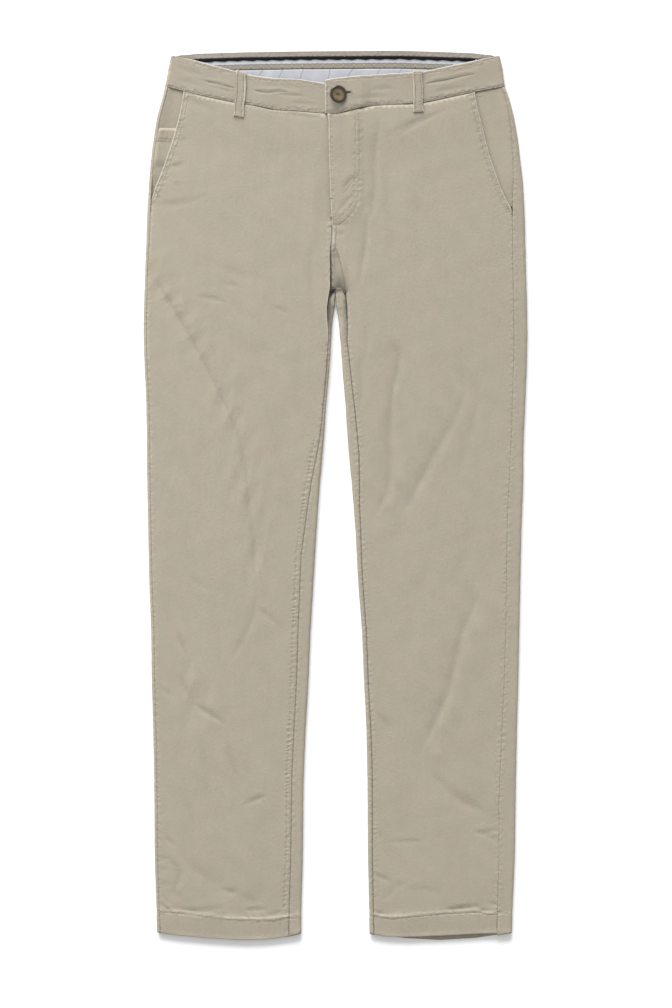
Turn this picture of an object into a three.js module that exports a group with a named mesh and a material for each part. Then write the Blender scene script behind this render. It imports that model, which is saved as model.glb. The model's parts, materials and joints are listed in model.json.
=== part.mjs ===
// Chino trousers laid flat on their back, waist towards +Y, hems towards -Y.
// Millimetres, +Z up. The underside rests at z = 0. The wearer's right side is at -X.
import * as THREE from 'three';

// Cloth
const CLOTH = 1.4;             // wall of the twill, with its seam allowances
const HEM_CLOTH = 2.0;         // the same wall where the hem is turned up inside
const HEM_RISE = 0.35;         // step of the hem band over the leg
const SEAM_GAP = 0.3;          // between pieces that are sewn together
const HALF_GAP = SEAM_GAP / 2;

// Heights of the laid garment
const WAIST_HEIGHT = 7.4;      // top of the front waistband
const WAIST_LIFT = 1.3;        // the waist stands this high on its back loops
const MIN_HEIGHT = 4.4;
const MAX_HEIGHT = 6.75;
const CROWN = 0.35;            // how far a leg's middle rises over its edges

// Fly
const FLY_RISE = 1.0;          // overlap over the fly shield
const FLY_DROP = 0.8;          // right front where it runs under the overlap
const FLY_WIDTH = 39;
const FLY_END = 356;           // y of the fly's lower end
const TONGUE = 6.3;            // how far the right front runs under the overlap
const SHIELD_WIDTH = 30;
const SHIELD_CLOTH = 1.2;
const OVERLAP_RISE = 1.7;      // waistband end over the underlap
const OVERLAP_WIDTH = 34;

// Crotch
const STRIP_DROP = 2.8;        // left front inside the crotch fold
const STRIP_END = 270;         // y where the front crotch strip ends
const PATCH_TOP = 269.6;       // y where the back crotch shows
const PATCH_DROP = 2.6;

// Front pockets
const FACING_CLOTH = 1.2;
const FACING_UNDER = 22;       // how far a facing runs in under the front
const COIN_CLOTH = 1.0;
const RIGHT_FACING_DROP = 3.0; // leaves room for the coin pocket on it
const LEFT_FACING_DROP = 1.75;

// Belt loops and button
const LOOP_WIDTH = 12;
const LOOP_CLOTH = 1.2;
const LOOP_INSIDE = 8;
const BACK_LOOP_CLOTH = 1.0;
const BACK_LOOP_BELOW = 9;
const BUTTON = { x: 3.5, y: 520.3, radius: 10, edge: 2.6, hollow: 1.5, shank: 1.0, lift: 0.5 };

// Sides: q is the distance from the centre line, so x = side * q
const RIGHT = -1;
const LEFT = 1;

// Outline of the laid garment, one row per height
const OUTLINE = [
  { y: 573.3, rightOut: 211.5, rightIn: 0.2, leftIn: 0.2, leftOut: 211.5 },
  { y: 568.1, rightOut: 216.0, rightIn: 0.2, leftIn: 0.2, leftOut: 215.5 },
  { y: 557.7, rightOut: 217.2, rightIn: 0.2, leftIn: 0.2, leftOut: 217.2 },
  { y: 542.1, rightOut: 219.2, rightIn: 0.2, leftIn: 0.2, leftOut: 218.5 },
  { y: 529.1, rightOut: 222.4, rightIn: 0.2, leftIn: 0.2, leftOut: 220.5 },
  { y: 516.1, rightOut: 225.0, rightIn: 0.2, leftIn: 0.2, leftOut: 226.3 },
  { y: 495.3, rightOut: 231.5, rightIn: 0.2, leftIn: 0.2, leftOut: 231.5 },
  { y: 471.9, rightOut: 235.4, rightIn: 0.2, leftIn: 0.2, leftOut: 236.1 },
  { y: 440.7, rightOut: 240.0, rightIn: 0.2, leftIn: 0.2, leftOut: 240.0 },
  { y: 409.5, rightOut: 243.2, rightIn: 0.2, leftIn: 0.2, leftOut: 244.5 },
  { y: 347.1, rightOut: 245.8, rightIn: 0.2, leftIn: 0.2, leftOut: 246.5 },
  { y: 284.7, rightOut: 248.4, rightIn: 0.2, leftIn: 0.2, leftOut: 248.4 },
  { y: 245.7, rightOut: 249.1, rightIn: 0.2, leftIn: 0.2, leftOut: 249.1 },
  { y: 237.9, rightOut: 249.7, rightIn: 2.5, leftIn: 2.5, leftOut: 249.1 },
  { y: 214.5, rightOut: 249.7, rightIn: 5.1, leftIn: 5.1, leftOut: 249.7 },
  { y: 182.0, rightOut: 249.7, rightIn: 6.4, leftIn: 7.7, leftOut: 249.7 },
  { y: 149.5, rightOut: 247.8, rightIn: 9.0, leftIn: 9.6, leftOut: 248.4 },
  { y: 117.0, rightOut: 246.5, rightIn: 12.2, leftIn: 12.9, leftOut: 247.1 },
  { y: 84.5, rightOut: 245.8, rightIn: 14.2, leftIn: 14.8, leftOut: 245.2 },
  { y: 52.0, rightOut: 245.8, rightIn: 16.8, leftIn: 17.4, leftOut: 244.5 },
  { y: 19.5, rightOut: 245.2, rightIn: 20.0, leftIn: 20.7, leftOut: 244.5 },
  { y: -45.5, rightOut: 243.9, rightIn: 24.6, leftIn: 25.9, leftOut: 241.9 },
  { y: -110.5, rightOut: 242.6, rightIn: 28.5, leftIn: 29.1, leftOut: 240.6 },
  { y: -175.5, rightOut: 240.0, rightIn: 32.4, leftIn: 34.3, leftOut: 239.3 },
  { y: -240.5, rightOut: 239.3, rightIn: 35.0, leftIn: 36.9, leftOut: 238.0 },
  { y: -305.5, rightOut: 237.4, rightIn: 38.9, leftIn: 40.2, leftOut: 236.1 },
  { y: -370.5, rightOut: 236.1, rightIn: 41.5, leftIn: 41.5, leftOut: 234.8 },
  { y: -468.0, rightOut: 235.4, rightIn: 42.4, leftIn: 42.1, leftOut: 233.5 },
  { y: -533.0, rightOut: 233.5, rightIn: 44.1, leftIn: 43.4, leftOut: 230.9 },
  { y: -579.8, rightOut: 231.5, rightIn: 44.7, leftIn: 44.7, leftOut: 228.9 },
];

// How far each seam lies in from its folded edge
const OUTSEAM = [
  { y: 530, right: 4.0, left: 4.0 },
  { y: 450, right: 4.1, left: 8.7 },
  { y: 383, right: 4.6, left: 15.2 },
  { y: 292, right: 4.0, left: 17.3 },
  { y: 126, right: 4.0, left: 17.4 },
  { y: 82, right: 4.0, left: 15.7 },
  { y: 5, right: 4.0, left: 18.8 },
  { y: -177, right: 4.0, left: 17.5 },
  { y: -321, right: 4.0, left: 19.7 },
  { y: -404, right: 4.0, left: 21.7 },
  { y: -580, right: 4.0, left: 19.0 },
];
const INSEAM = [
  { y: 274, right: 6.3, left: 12.2 },
  { y: 257, right: 9.4, left: 13.8 },
  { y: 245, right: 10.6, left: 14.5 },
  { y: 232, right: 7.9, left: 12.4 },
  { y: 215, right: 4.7, left: 10.5 },
  { y: 200, right: 3.8, left: 8.8 },
  { y: 152, right: 3.6, left: 10.9 },
  { y: 100, right: 3.8, left: 12.0 },
  { y: 66, right: 5.6, left: 14.1 },
  { y: 36, right: 9.4, left: 12.3 },
  { y: 2, right: 12.6, left: 8.6 },
  { y: -35, right: 14.9, left: 7.0 },
  { y: -78, right: 18.0, left: 6.3 },
  { y: -177, right: 16.2, left: 5.7 },
  { y: -288, right: 15.0, left: 5.6 },
  { y: -354, right: 15.3, left: 6.5 },
  { y: -580, right: 16.0, left: 5.4 },
];

// Waist: rims and seams across the front and the back
const BACK_RIM = [
  { x: -213.8, y: 568.1 },
  { x: -207.3, y: 572.0 },
  { x: -182.7, y: 574.0 },
  { x: -124.2, y: 575.9 },
  { x: -46.1, y: 577.2 },
  { x: 83.9, y: 578.1 },
  { x: 174.8, y: 575.2 },
  { x: 207.5, y: 572.0 },
  { x: 213.8, y: 568.1 },
];
const BACK_SEAM = [
  { x: -216, y: 530.0 },
  { x: -182.7, y: 533.6 },
  { x: -124.2, y: 535.9 },
  { x: -46.1, y: 537.2 },
  { x: 83.9, y: 538.1 },
  { x: 174.8, y: 534.8 },
  { x: 216, y: 530.0 },
];
const FRONT_RIM_RIGHT = [
  { x: -206.1, y: 571.6 },
  { x: -168.3, y: 560.7 },
  { x: -132.0, y: 551.6 },
  { x: -113.8, y: 546.0 },
  { x: -81.2, y: 541.6 },
  { x: -48.8, y: 540.8 },
  { x: -15.5, y: 535.2 },
  { x: 5, y: 538.6 },
  { x: 32, y: 542.5 },
];
const FRONT_RIM_LEFT = [
  { x: -13.9, y: 539.1 },
  { x: -2.0, y: 541.6 },
  { x: 34.5, y: 545.2 },
  { x: 70.9, y: 547.6 },
  { x: 115.0, y: 549.9 },
  { x: 143.7, y: 556.7 },
  { x: 176.8, y: 563.4 },
  { x: 207.9, y: 571.6 },
];
const FRONT_SEAM_RIGHT = [
  { x: -220.6, y: 530.4 },
  { x: -197.0, y: 524.3 },
  { x: -165.0, y: 517.0 },
  { x: -128.6, y: 509.6 },
  { x: -110.2, y: 507.0 },
  { x: -81.2, y: 500.5 },
  { x: -48.2, y: 498.7 },
  { x: -13.7, y: 495.6 },
  { x: 2, y: 496.0 },
  { x: 16, y: 499.4 },
  { x: 32, y: 503.4 },
];
const FRONT_SEAM_LEFT = [
  { x: -13.7, y: 495.3 },
  { x: 2.0, y: 495.4 },
  { x: 16.2, y: 498.7 },
  { x: 40.0, y: 505.1 },
  { x: 71.1, y: 507.5 },
  { x: 100.2, y: 507.5 },
  { x: 114.8, y: 509.6 },
  { x: 144.0, y: 516.0 },
  { x: 180.4, y: 523.4 },
  { x: 219.5, y: 530.2 },
];

// Fly edge above, crotch seam below
const FLY_EDGE = [
  { y: 539, x: -13.9 },
  { y: 517, x: -13.1 },
  { y: 498, x: -11.2 },
  { y: 490, x: -9.0 },
  { y: 431, x: -7.9 },
  { y: 394, x: -6.5 },
  { y: 361, x: -4.9 },
  { y: 351, x: -4.5 },
  { y: 329, x: -5.2 },
  { y: 316, x: -7.2 },
  { y: 300, x: -6.4 },
  { y: 272, x: -6.5 },
];

// Width of the left front that lies inside its crotch fold
const CROTCH_FOLD = [
  { y: 340, width: 12.0 },
  { y: 325, width: 7.0 },
  { y: 309, width: 12.6 },
  { y: 289, width: 16.4 },
  { y: 270, width: 19.5 },
];

// Slanted pocket edges, as distances from the centre line
const POCKET_RIGHT = [
  { y: 530, q: 197.0 },
  { y: 520, q: 197.5 },
  { y: 490, q: 203.5 },
  { y: 463, q: 211.0 },
  { y: 438, q: 219.6 },
  { y: 416, q: 227.1 },
  { y: 402, q: 233.6 },
  { y: 386, q: 238.6 },
];
const POCKET_LEFT = [
  { y: 530, q: 180.4 },
  { y: 520, q: 181.2 },
  { y: 507, q: 183.7 },
  { y: 443, q: 199.4 },
  { y: 396, q: 215.9 },
  { y: 371, q: 228.4 },
];

// Hems, front and back
const HEM_RIGHT = [
  { x: -231.8, y: -568.8 },
  { x: -204.8, y: -572.5 },
  { x: -164.5, y: -576.2 },
  { x: -119.9, y: -578.5 },
  { x: -90.0, y: -577.7 },
  { x: -60.2, y: -574.0 },
  { x: -45.2, y: -570.2 },
];
const HEM_LEFT = [
  { x: 45.8, y: -570.2 },
  { x: 63.6, y: -574.0 },
  { x: 93.5, y: -574.7 },
  { x: 145.7, y: -572.5 },
  { x: 187.5, y: -570.2 },
  { x: 227.8, y: -569.4 },
];
const HEM_LEFT_BACK = [
  { x: 45.8, y: -570.8 },
  { x: 63.6, y: -574.6 },
  { x: 93.5, y: -576.8 },
  { x: 139.8, y: -579.1 },
  { x: 187.8, y: -575.9 },
  { x: 227.8, y: -569.8 },
];

// Heights of the laid cloth down the garment
const BODY_HEIGHT = [
  { y: 600, z: 6.2 },
  { y: 290, z: 6.2 },
  { y: 150, z: 5.8 },
  { y: -500, z: 5.6 },
  { y: -545, z: 5.2 },
  { y: -580, z: 5.2 },
];

// Largest folds, each along a curve through three points; a trough has a negative height
const FOLDS = [
  { x0: -244, y0: 294, x1: -158, y1: 147, x2: -105, y2: -77, width: 8, height: -1.0 },
  { x0: -226, y0: 306, x1: -140, y1: 158, x2: -88, y2: -70, width: 11, height: 0.8 },
  { x0: -204, y0: -237, x1: -179, y1: -274, x2: -146, y2: -296, width: 7, height: -0.9 },
  { x0: -190, y0: -222, x1: -168, y1: -262, x2: -138, y2: -282, width: 9, height: 0.6 },
  { x0: -194, y0: -476, x1: -152, y1: -503, x2: -106, y2: -528, width: 7, height: -0.8 },
  { x0: -90, y0: -147, x1: -84, y1: -158, x2: -70, y2: -170, width: 7, height: -0.7 },
  { x0: -28, y0: 435, x1: -27, y1: 380, x2: -30, y2: 331, width: 9, height: 0.5 },
  { x0: 81, y0: 186, x1: 74, y1: 77, x2: 46, y2: -29, width: 8, height: -0.9 },
  { x0: 123, y0: 124, x1: 103, y1: 60, x2: 78, y2: -10, width: 12, height: 0.7 },
  { x0: 167, y0: 142, x1: 131, y1: 62, x2: 81, y2: -35, width: 8, height: -0.8 },
  { x0: 184, y0: 118, x1: 170, y1: 77, x2: 161, y2: 33, width: 8, height: -0.6 },
  { x0: 184, y0: -135, x1: 150, y1: -225, x2: 108, y2: -355, width: 8, height: -0.9 },
  { x0: 201, y0: -140, x1: 168, y1: -230, x2: 127, y2: -345, width: 11, height: 0.7 },
  { x0: 129, y0: -364, x1: 169, y1: -400, x2: 193, y2: -412, width: 7, height: -0.7 },
  { x0: 145, y0: -538, x1: 167, y1: -537, x2: 190, y2: -534, width: 6, height: -0.6 },
  { x0: 54, y0: 478, x1: 51, y1: 398, x2: 34, y2: 307, width: 8, height: -0.6 },
  { x0: 100, y0: 385, x1: 104, y1: 330, x2: 112, y2: 260, width: 14, height: 0.5 },
];
const FOLD_STEPS = 10;

// Heights of the rows of points down a panel, before they bend to the waist seam and the hem
const ROWS = [
  530, 519, 506, 492, 476, 459, 441, 420, 400, 385, 371, 361.5, 352, 340, 325, 309, 289, STRIP_END,
  252, 244, 232, 216, 200, 175, 146, 117, 84, 52, 19, -13, -46, -78, -110, -143, -175, -208, -240,
  -273, -305, -338, -370, -403, -436, -468, -500, -524, -542, -544, -557, -570,
];
const STRIP_ROW = ROWS.indexOf(STRIP_END);
const HEM_ROW = ROWS.indexOf(-544);
const WAIST_BEND_FROM = 380;
const HEM_BEND_FROM = -450;
const WAIST_NOMINAL = 530;
const HEM_NOMINAL = -570;

const smooth = (t) => {
  const s = Math.min(1, Math.max(0, t));
  return s * s * (3 - 2 * s);
};
const mix = (a, b, t) => a + (b - a) * t;

// Reads one column of a table at a place along its key, straight between rows
function read(table, column, place, key = 'y') {
  const rising = table[table.length - 1][key] > table[0][key];
  const rows = rising ? table : [...table].reverse();
  if (place <= rows[0][key]) {
    return rows[0][column];
  }
  for (let i = 1; i < rows.length; i += 1) {
    if (place <= rows[i][key]) {
      const t = (place - rows[i - 1][key]) / (rows[i][key] - rows[i - 1][key]);
      return mix(rows[i - 1][column], rows[i][column], t);
    }
  }
  return rows[rows.length - 1][column];
}
const alongX = (table, x) => read(table, 'y', x, 'x');

const outerEdge = (side, y) => read(OUTLINE, side === RIGHT ? 'rightOut' : 'leftOut', y);
const innerEdge = (side, y) => read(OUTLINE, side === RIGHT ? 'rightIn' : 'leftIn', y);
const outseamAt = (side, y) => (
  outerEdge(side, y) - read(OUTSEAM, side === RIGHT ? 'right' : 'left', y)
);
const inseamAt = (side, y) => (
  innerEdge(side, y) + read(INSEAM, side === RIGHT ? 'right' : 'left', y)
);
const flyEdge = (y) => read(FLY_EDGE, 'x', y);
const frontSeam = (side, x) => alongX(side === RIGHT ? FRONT_SEAM_RIGHT : FRONT_SEAM_LEFT, x);

// Height that the folds add at a point
const FOLD_LINES = FOLDS.map((fold) => {
  const bendX = 2 * fold.x1 - (fold.x0 + fold.x2) / 2;
  const bendY = 2 * fold.y1 - (fold.y0 + fold.y2) / 2;
  const curve = new THREE.QuadraticBezierCurve(
    new THREE.Vector2(fold.x0, fold.y0),
    new THREE.Vector2(bendX, bendY),
    new THREE.Vector2(fold.x2, fold.y2),
  );
  return { ...fold, points: curve.getPoints(FOLD_STEPS) };
});
function foldHeight(x, y) {
  let height = 0;
  for (const fold of FOLD_LINES) {
    let nearest = Infinity;
    for (let i = 1; i < fold.points.length; i += 1) {
      const a = fold.points[i - 1];
      const b = fold.points[i];
      const length = (b.x - a.x) ** 2 + (b.y - a.y) ** 2;
      const t = ((x - a.x) * (b.x - a.x) + (y - a.y) * (b.y - a.y)) / length;
      const s = Math.min(1, Math.max(0, t));
      const dx = x - mix(a.x, b.x, s);
      const dy = y - mix(a.y, b.y, s);
      nearest = Math.min(nearest, dx * dx + dy * dy);
    }
    height += fold.height * Math.exp(-nearest / fold.width ** 2);
  }
  return height;
}

// Top of the laid cloth
const TOP_LEVEL_BELOW_SEAM = 24;
const TOP_FADE = 45;
function topHeight(side, x, y) {
  const atWaist = smooth((y - (frontSeam(side, x) - TOP_LEVEL_BELOW_SEAM - TOP_FADE)) / TOP_FADE);
  const inner = Math.max(innerEdge(side, y), 0);
  const outer = outerEdge(side, y);
  const across = (2 * side * x - inner - outer) / (outer - inner);
  const crown = CROWN * Math.max(0, 1 - across * across);
  const body = read(BODY_HEIGHT, 'z', y) + crown + foldHeight(x, y);
  const height = Math.min(MAX_HEIGHT, Math.max(MIN_HEIGHT, body));
  return mix(height, WAIST_HEIGHT, atWaist);
}

// Underside: flat on the surface, lifted only at the waist by the loops under it
const LIFT_LEVEL_BELOW_SEAM = 12;
const LIFT_FADE = 40;
function underHeight(x, y) {
  const seam = alongX(BACK_SEAM, x);
  return WAIST_LIFT * smooth((y - (seam - LIFT_LEVEL_BELOW_SEAM - LIFT_FADE)) / LIFT_FADE);
}

// A closed solid from a grid of outer and inner points; cells that are off leave a walled hole
function sheet(rowCount, columnCount, pointAt, isOn = () => true) {
  const positions = [];
  const index = [];
  const ids = new Map();
  const points = new Map();
  const vertex = (row, column, face) => {
    const key = `${row},${column}`;
    if (!points.has(key)) {
      points.set(key, pointAt(row, column));
    }
    const id = `${key},${face}`;
    if (!ids.has(id)) {
      ids.set(id, positions.length / 3);
      positions.push(...points.get(key)[face]);
    }
    return ids.get(id);
  };
  const quad = (a, b, c, d) => index.push(a, b, c, a, c, d);
  const on = (row, column) => (
    row >= 0 && column >= 0 && row < rowCount && column < columnCount && isOn(row, column)
  );
  const wall = (rowA, columnA, rowB, columnB) => quad(
    vertex(rowA, columnA, 'outer'),
    vertex(rowB, columnB, 'outer'),
    vertex(rowB, columnB, 'inner'),
    vertex(rowA, columnA, 'inner'),
  );
  for (let row = 0; row < rowCount; row += 1) {
    for (let column = 0; column < columnCount; column += 1) {
      if (!on(row, column)) {
        continue;
      }
      const corners = [[row, column], [row + 1, column], [row + 1, column + 1], [row, column + 1]];
      quad(...corners.map(([r, c]) => vertex(r, c, 'outer')));
      quad(...[...corners].reverse().map(([r, c]) => vertex(r, c, 'inner')));
      if (!on(row - 1, column)) {
        wall(row, column, row, column + 1);
      }
      if (!on(row + 1, column)) {
        wall(row + 1, column + 1, row + 1, column);
      }
      if (!on(row, column - 1)) {
        wall(row + 1, column, row, column);
      }
      if (!on(row, column + 1)) {
        wall(row, column + 1, row + 1, column + 1);
      }
    }
  }
  return solid(positions, index);
}

// Turns the faces outward and makes the geometry
function solid(positions, index) {
  const corner = (i) => new THREE.Vector3().fromArray(positions, 3 * index[i]);
  let volume = 0;
  for (let i = 0; i < index.length; i += 3) {
    volume += corner(i).dot(corner(i + 1).cross(corner(i + 2)));
  }
  if (volume < 0) {
    for (let i = 0; i < index.length; i += 3) {
      [index[i + 1], index[i + 2]] = [index[i + 2], index[i + 1]];
    }
  }
  const geometry = new THREE.BufferGeometry();
  geometry.setAttribute('position', new THREE.Float32BufferAttribute(positions, 3));
  geometry.setIndex(index);
  geometry.computeVertexNormals();
  return geometry;
}

// Bends a row of points to the waist seam above and to the hem below
function bend(nominal, waistY, hemY) {
  const up = smooth((nominal - WAIST_BEND_FROM) / (WAIST_NOMINAL - WAIST_BEND_FROM));
  const down = smooth((HEM_BEND_FROM - nominal) / (HEM_BEND_FROM - HEM_NOMINAL));
  return nominal + up * (waistY - WAIST_NOMINAL) + down * (hemY - HEM_NOMINAL);
}
const clothAt = (row) => (row >= HEM_ROW ? HEM_CLOTH : CLOTH);
const hemRise = (row) => (row >= HEM_ROW ? HEM_RISE : 0);

// Front panels: from the inseam, crotch or fly out to the outseam or the slanted pocket edge
const FRONT_COLUMNS = 16;
const FLY_FADE_ROWS = 10;
const POCKET_BLEND = 25;       // how far below the pocket its edge runs out into the side seam

function frontOuter(side, y) {
  const pocket = side === RIGHT ? POCKET_RIGHT : POCKET_LEFT;
  const last = pocket[pocket.length - 1];
  const seam = outseamAt(side, y) - HALF_GAP;
  if (y > last.y) {
    return Math.min(seam, read(pocket, 'q', y));
  }
  return mix(seam, Math.min(seam, last.q), smooth((y - last.y + POCKET_BLEND) / POCKET_BLEND));
}

const flyFade = (y) => smooth((y - FLY_END + FLY_FADE_ROWS / 2) / FLY_FADE_ROWS);

function rightFrontX(y, column) {
  const outer = frontOuter(RIGHT, y);
  const tongue = TONGUE * smooth((y - FLY_END - 6) / 8);
  const centre = y > STRIP_END ? -(flyEdge(y) - SEAM_GAP + tongue) : inseamAt(RIGHT, y) + HALF_GAP;
  const fly = y > STRIP_END ? -flyEdge(y) : centre;
  const first = tongue > 1 ? fly + 0.6 : centre + 2.5;
  const second = first + 4;
  if (column < 3) {
    return -[centre, first, second][column];
  }
  return -mix(second, outer, (column - 2) / (FRONT_COLUMNS - 2));
}

function rightFrontPoint(row, column) {
  const place = (y) => rightFrontX(y, column);
  const roughX = place(ROWS[row]);
  const y = bend(ROWS[row], frontSeam(RIGHT, roughX) - HALF_GAP, alongX(HEM_RIGHT, roughX));
  const x = place(y);
  const under = smooth((x - flyEdge(y) + 5) / 4) * flyFade(y);
  const z = topHeight(RIGHT, x, y) - FLY_DROP * under + hemRise(row);
  return { outer: [x, y, z], inner: [x, y, z - clothAt(row)] };
}

const STRIP_COLUMNS = 3;
const FLY_STOPS = [12, 25, FLY_WIDTH - 1, FLY_WIDTH + 5];

function leftFrontX(y, column) {
  const outer = frontOuter(LEFT, y);
  const start = flyEdge(y);
  const fold = y > STRIP_END - 1
    ? start + read(CROTCH_FOLD, 'width', y)
    : inseamAt(LEFT, y) + HALF_GAP;
  if (column < STRIP_COLUMNS) {
    return [start, (start + fold) / 2, fold - 1.6][column];
  }
  const even = mix(fold, outer, (column - STRIP_COLUMNS) / (FRONT_COLUMNS - STRIP_COLUMNS));
  const stop = column - STRIP_COLUMNS;
  const lastStop = FLY_STOPS.length - 1;
  const beyond = (stop - lastStop) / (FRONT_COLUMNS - STRIP_COLUMNS - lastStop);
  const byFly = stop <= lastStop
    ? start + FLY_STOPS[stop]
    : mix(start + FLY_STOPS[lastStop], outer, beyond);
  return mix(even, byFly, smooth((y - FLY_END + 20) / 20));
}

function leftFrontPoint(row, column) {
  const place = (y) => leftFrontX(y, column);
  const roughX = place(ROWS[row]);
  const y = bend(ROWS[row], frontSeam(LEFT, roughX) - HALF_GAP, alongX(HEM_LEFT, roughX));
  const x = place(y);
  const fly = flyFade(y) * (1 - smooth((x - flyEdge(y) - FLY_WIDTH + 1) / 6));
  const strip = column < STRIP_COLUMNS && y > STRIP_END - 1 ? smooth((326 - y) / 12) : 0;
  const z = topHeight(LEFT, x, y) + FLY_RISE * fly - STRIP_DROP * strip + hemRise(row);
  return { outer: [x, y, z], inner: [x, y, z - clothAt(row)] };
}
const leftFrontOn = (row, column) => row < STRIP_ROW || column >= STRIP_COLUMNS;

// Back panels: flat underneath, round both folded edges and up to the seams on the front
const WRAP_COLUMNS = 2;
const ARC_COLUMNS = 4;
const UNDER_COLUMNS = 4;
const OUTER_ARC = WRAP_COLUMNS;
const UNDER = OUTER_ARC + ARC_COLUMNS;
const INNER_ARC = UNDER + UNDER_COLUMNS;
const INNER_WRAP = INNER_ARC + ARC_COLUMNS;
const BACK_COLUMNS = INNER_WRAP + WRAP_COLUMNS;
const BACK_ROWS = ROWS.map((y) => (y === STRIP_END ? PATCH_TOP : y));

function backSection(side, row, column, y) {
  const cloth = clothAt(row);
  const outerQ = outerEdge(side, y);
  const top = (q) => topHeight(side, side * q, y) + hemRise(row);
  const under = (q) => underHeight(side * q, y);
  const outerTop = top(outerQ - 3);
  const outerUnder = under(outerQ - 3);
  const outerRadius = (outerTop - outerUnder) / 2;
  const isSplit = row < STRIP_ROW;
  const drop = PATCH_DROP * smooth((y - 215) / 25);
  const innerQ = innerEdge(side, y);
  const innerRadius = (top(innerQ + 3) - drop) / 2;
  const arc = (centreQ, radius, base, angle, way) => ({
    outer: { q: centreQ + way * radius * Math.cos(angle), z: base + radius + radius * Math.sin(angle) },
    inner: {
      q: centreQ + way * (radius - cloth) * Math.cos(angle),
      z: base + radius + (radius - cloth) * Math.sin(angle),
    },
  });
  if (column < OUTER_ARC) {
    const q = mix(outseamAt(side, y) + HALF_GAP, outerQ - outerRadius, column / WRAP_COLUMNS);
    return { outer: { q, z: mix(top(q), outerTop, column / WRAP_COLUMNS) }, cloth };
  }
  if (column <= UNDER) {
    const angle = Math.PI * (0.5 - (column - OUTER_ARC) / ARC_COLUMNS);
    return arc(outerQ - outerRadius, outerRadius, outerUnder, angle, 1);
  }
  const startQ = outerQ - outerRadius;
  const endQ = isSplit ? HALF_GAP : innerQ + innerRadius;
  if (column < INNER_ARC || isSplit) {
    const t = (column - UNDER) / UNDER_COLUMNS;
    const q = mix(startQ, endQ, t);
    return { outer: { q, z: under(q) }, inner: { q, z: under(q) + cloth } };
  }
  if (column <= INNER_WRAP) {
    const angle = Math.PI * (-0.5 + (column - INNER_ARC) / ARC_COLUMNS);
    return arc(innerQ + innerRadius, innerRadius, 0, angle, -1);
  }
  const t = (column - INNER_WRAP) / WRAP_COLUMNS;
  const q = mix(innerQ + innerRadius, inseamAt(side, y) - HALF_GAP, t);
  return { outer: { q, z: mix(2 * innerRadius, top(q) - drop, t) }, cloth };
}

function backPoint(side, row, column) {
  const hem = side === RIGHT ? HEM_RIGHT : HEM_LEFT_BACK;
  const isUnder = column > UNDER;
  const rough = backSection(side, row, column, BACK_ROWS[row]);
  const roughX = side * rough.outer.q;
  const waistY = isUnder ? alongX(BACK_SEAM, roughX) : frontSeam(side, roughX);
  const y = bend(BACK_ROWS[row], waistY - HALF_GAP, alongX(hem, roughX));
  const at = backSection(side, row, column, y);
  const inner = at.inner ?? { q: at.outer.q, z: at.outer.z - at.cloth };
  return { outer: [side * at.outer.q, y, at.outer.z], inner: [side * inner.q, y, inner.z] };
}
const backOn = (row, column) => row >= STRIP_ROW || column < INNER_ARC;

// Waistband halves: from the centre back, round the side fold and across the front
const BAND_UNDER = 7;
const BAND_ARC = 4;
const BAND_TOP = 10;
const BAND_COLUMNS = BAND_UNDER + BAND_ARC + BAND_TOP;
const BAND_ROWS = [0, 0.445, 0.5, 1];
const SIDE_RIM_Y = 570.6;
const SIDE_SEAM_Y = 530.3;
const BUTTONHOLE_FROM = 1.2;
const BUTTONHOLE_TO = 19.5;
const BAND_TOP_LEFT = [180, 145, 112, 78, 46, 34, BUTTONHOLE_TO, BUTTONHOLE_FROM, -6, -13.7];
const BAND_TOP_RIGHT = [-184, -158, -130, -104, -76, -46, -26, -13.6, 8, 30];
const UNDERLAP_INSET = 0.3;

function bandPoint(side, row, column) {
  const down = BAND_ROWS[row];
  const rim = side === RIGHT ? FRONT_RIM_RIGHT : FRONT_RIM_LEFT;
  const edgeY = mix(SIDE_RIM_Y, SIDE_SEAM_Y, down);
  const radius = (WAIST_HEIGHT - WAIST_LIFT) / 2;
  const foldQ = outerEdge(side, edgeY) - radius;
  if (column < BAND_UNDER) {
    const q = mix(HALF_GAP, foldQ, column / BAND_UNDER);
    const x = side * q;
    const y = mix(alongX(BACK_RIM, x), alongX(BACK_SEAM, x) + HALF_GAP, down);
    return { outer: [x, y, WAIST_LIFT], inner: [x, y, WAIST_LIFT + CLOTH] };
  }
  if (column <= BAND_UNDER + BAND_ARC) {
    const angle = Math.PI * ((column - BAND_UNDER) / BAND_ARC - 0.5);
    const ring = (r) => [
      side * (foldQ + r * Math.cos(angle)),
      edgeY,
      WAIST_LIFT + radius + r * Math.sin(angle),
    ];
    return { outer: ring(radius), inner: ring(radius - CLOTH) };
  }
  const stops = side === RIGHT ? BAND_TOP_RIGHT : BAND_TOP_LEFT;
  const x = stops[column - BAND_UNDER - BAND_ARC - 1];
  const seamY = frontSeam(side, x) + HALF_GAP;
  const y = mix(alongX(rim, x), seamY, down);
  const overlap = side === LEFT ? OVERLAP_RISE * (1 - smooth((x - OVERLAP_WIDTH) / 10)) : 0;
  const under = side === RIGHT && x > -15 ? UNDERLAP_INSET : 0;
  const z = WAIST_HEIGHT + overlap - under;
  return { outer: [x, y, z], inner: [x, y, z - CLOTH] };
}
const HOLE_COLUMN = BAND_UNDER + BAND_ARC + 7;
const bandOn = (side) => (row, column) => side === RIGHT || row !== 1 || column !== HOLE_COLUMN;

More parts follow.
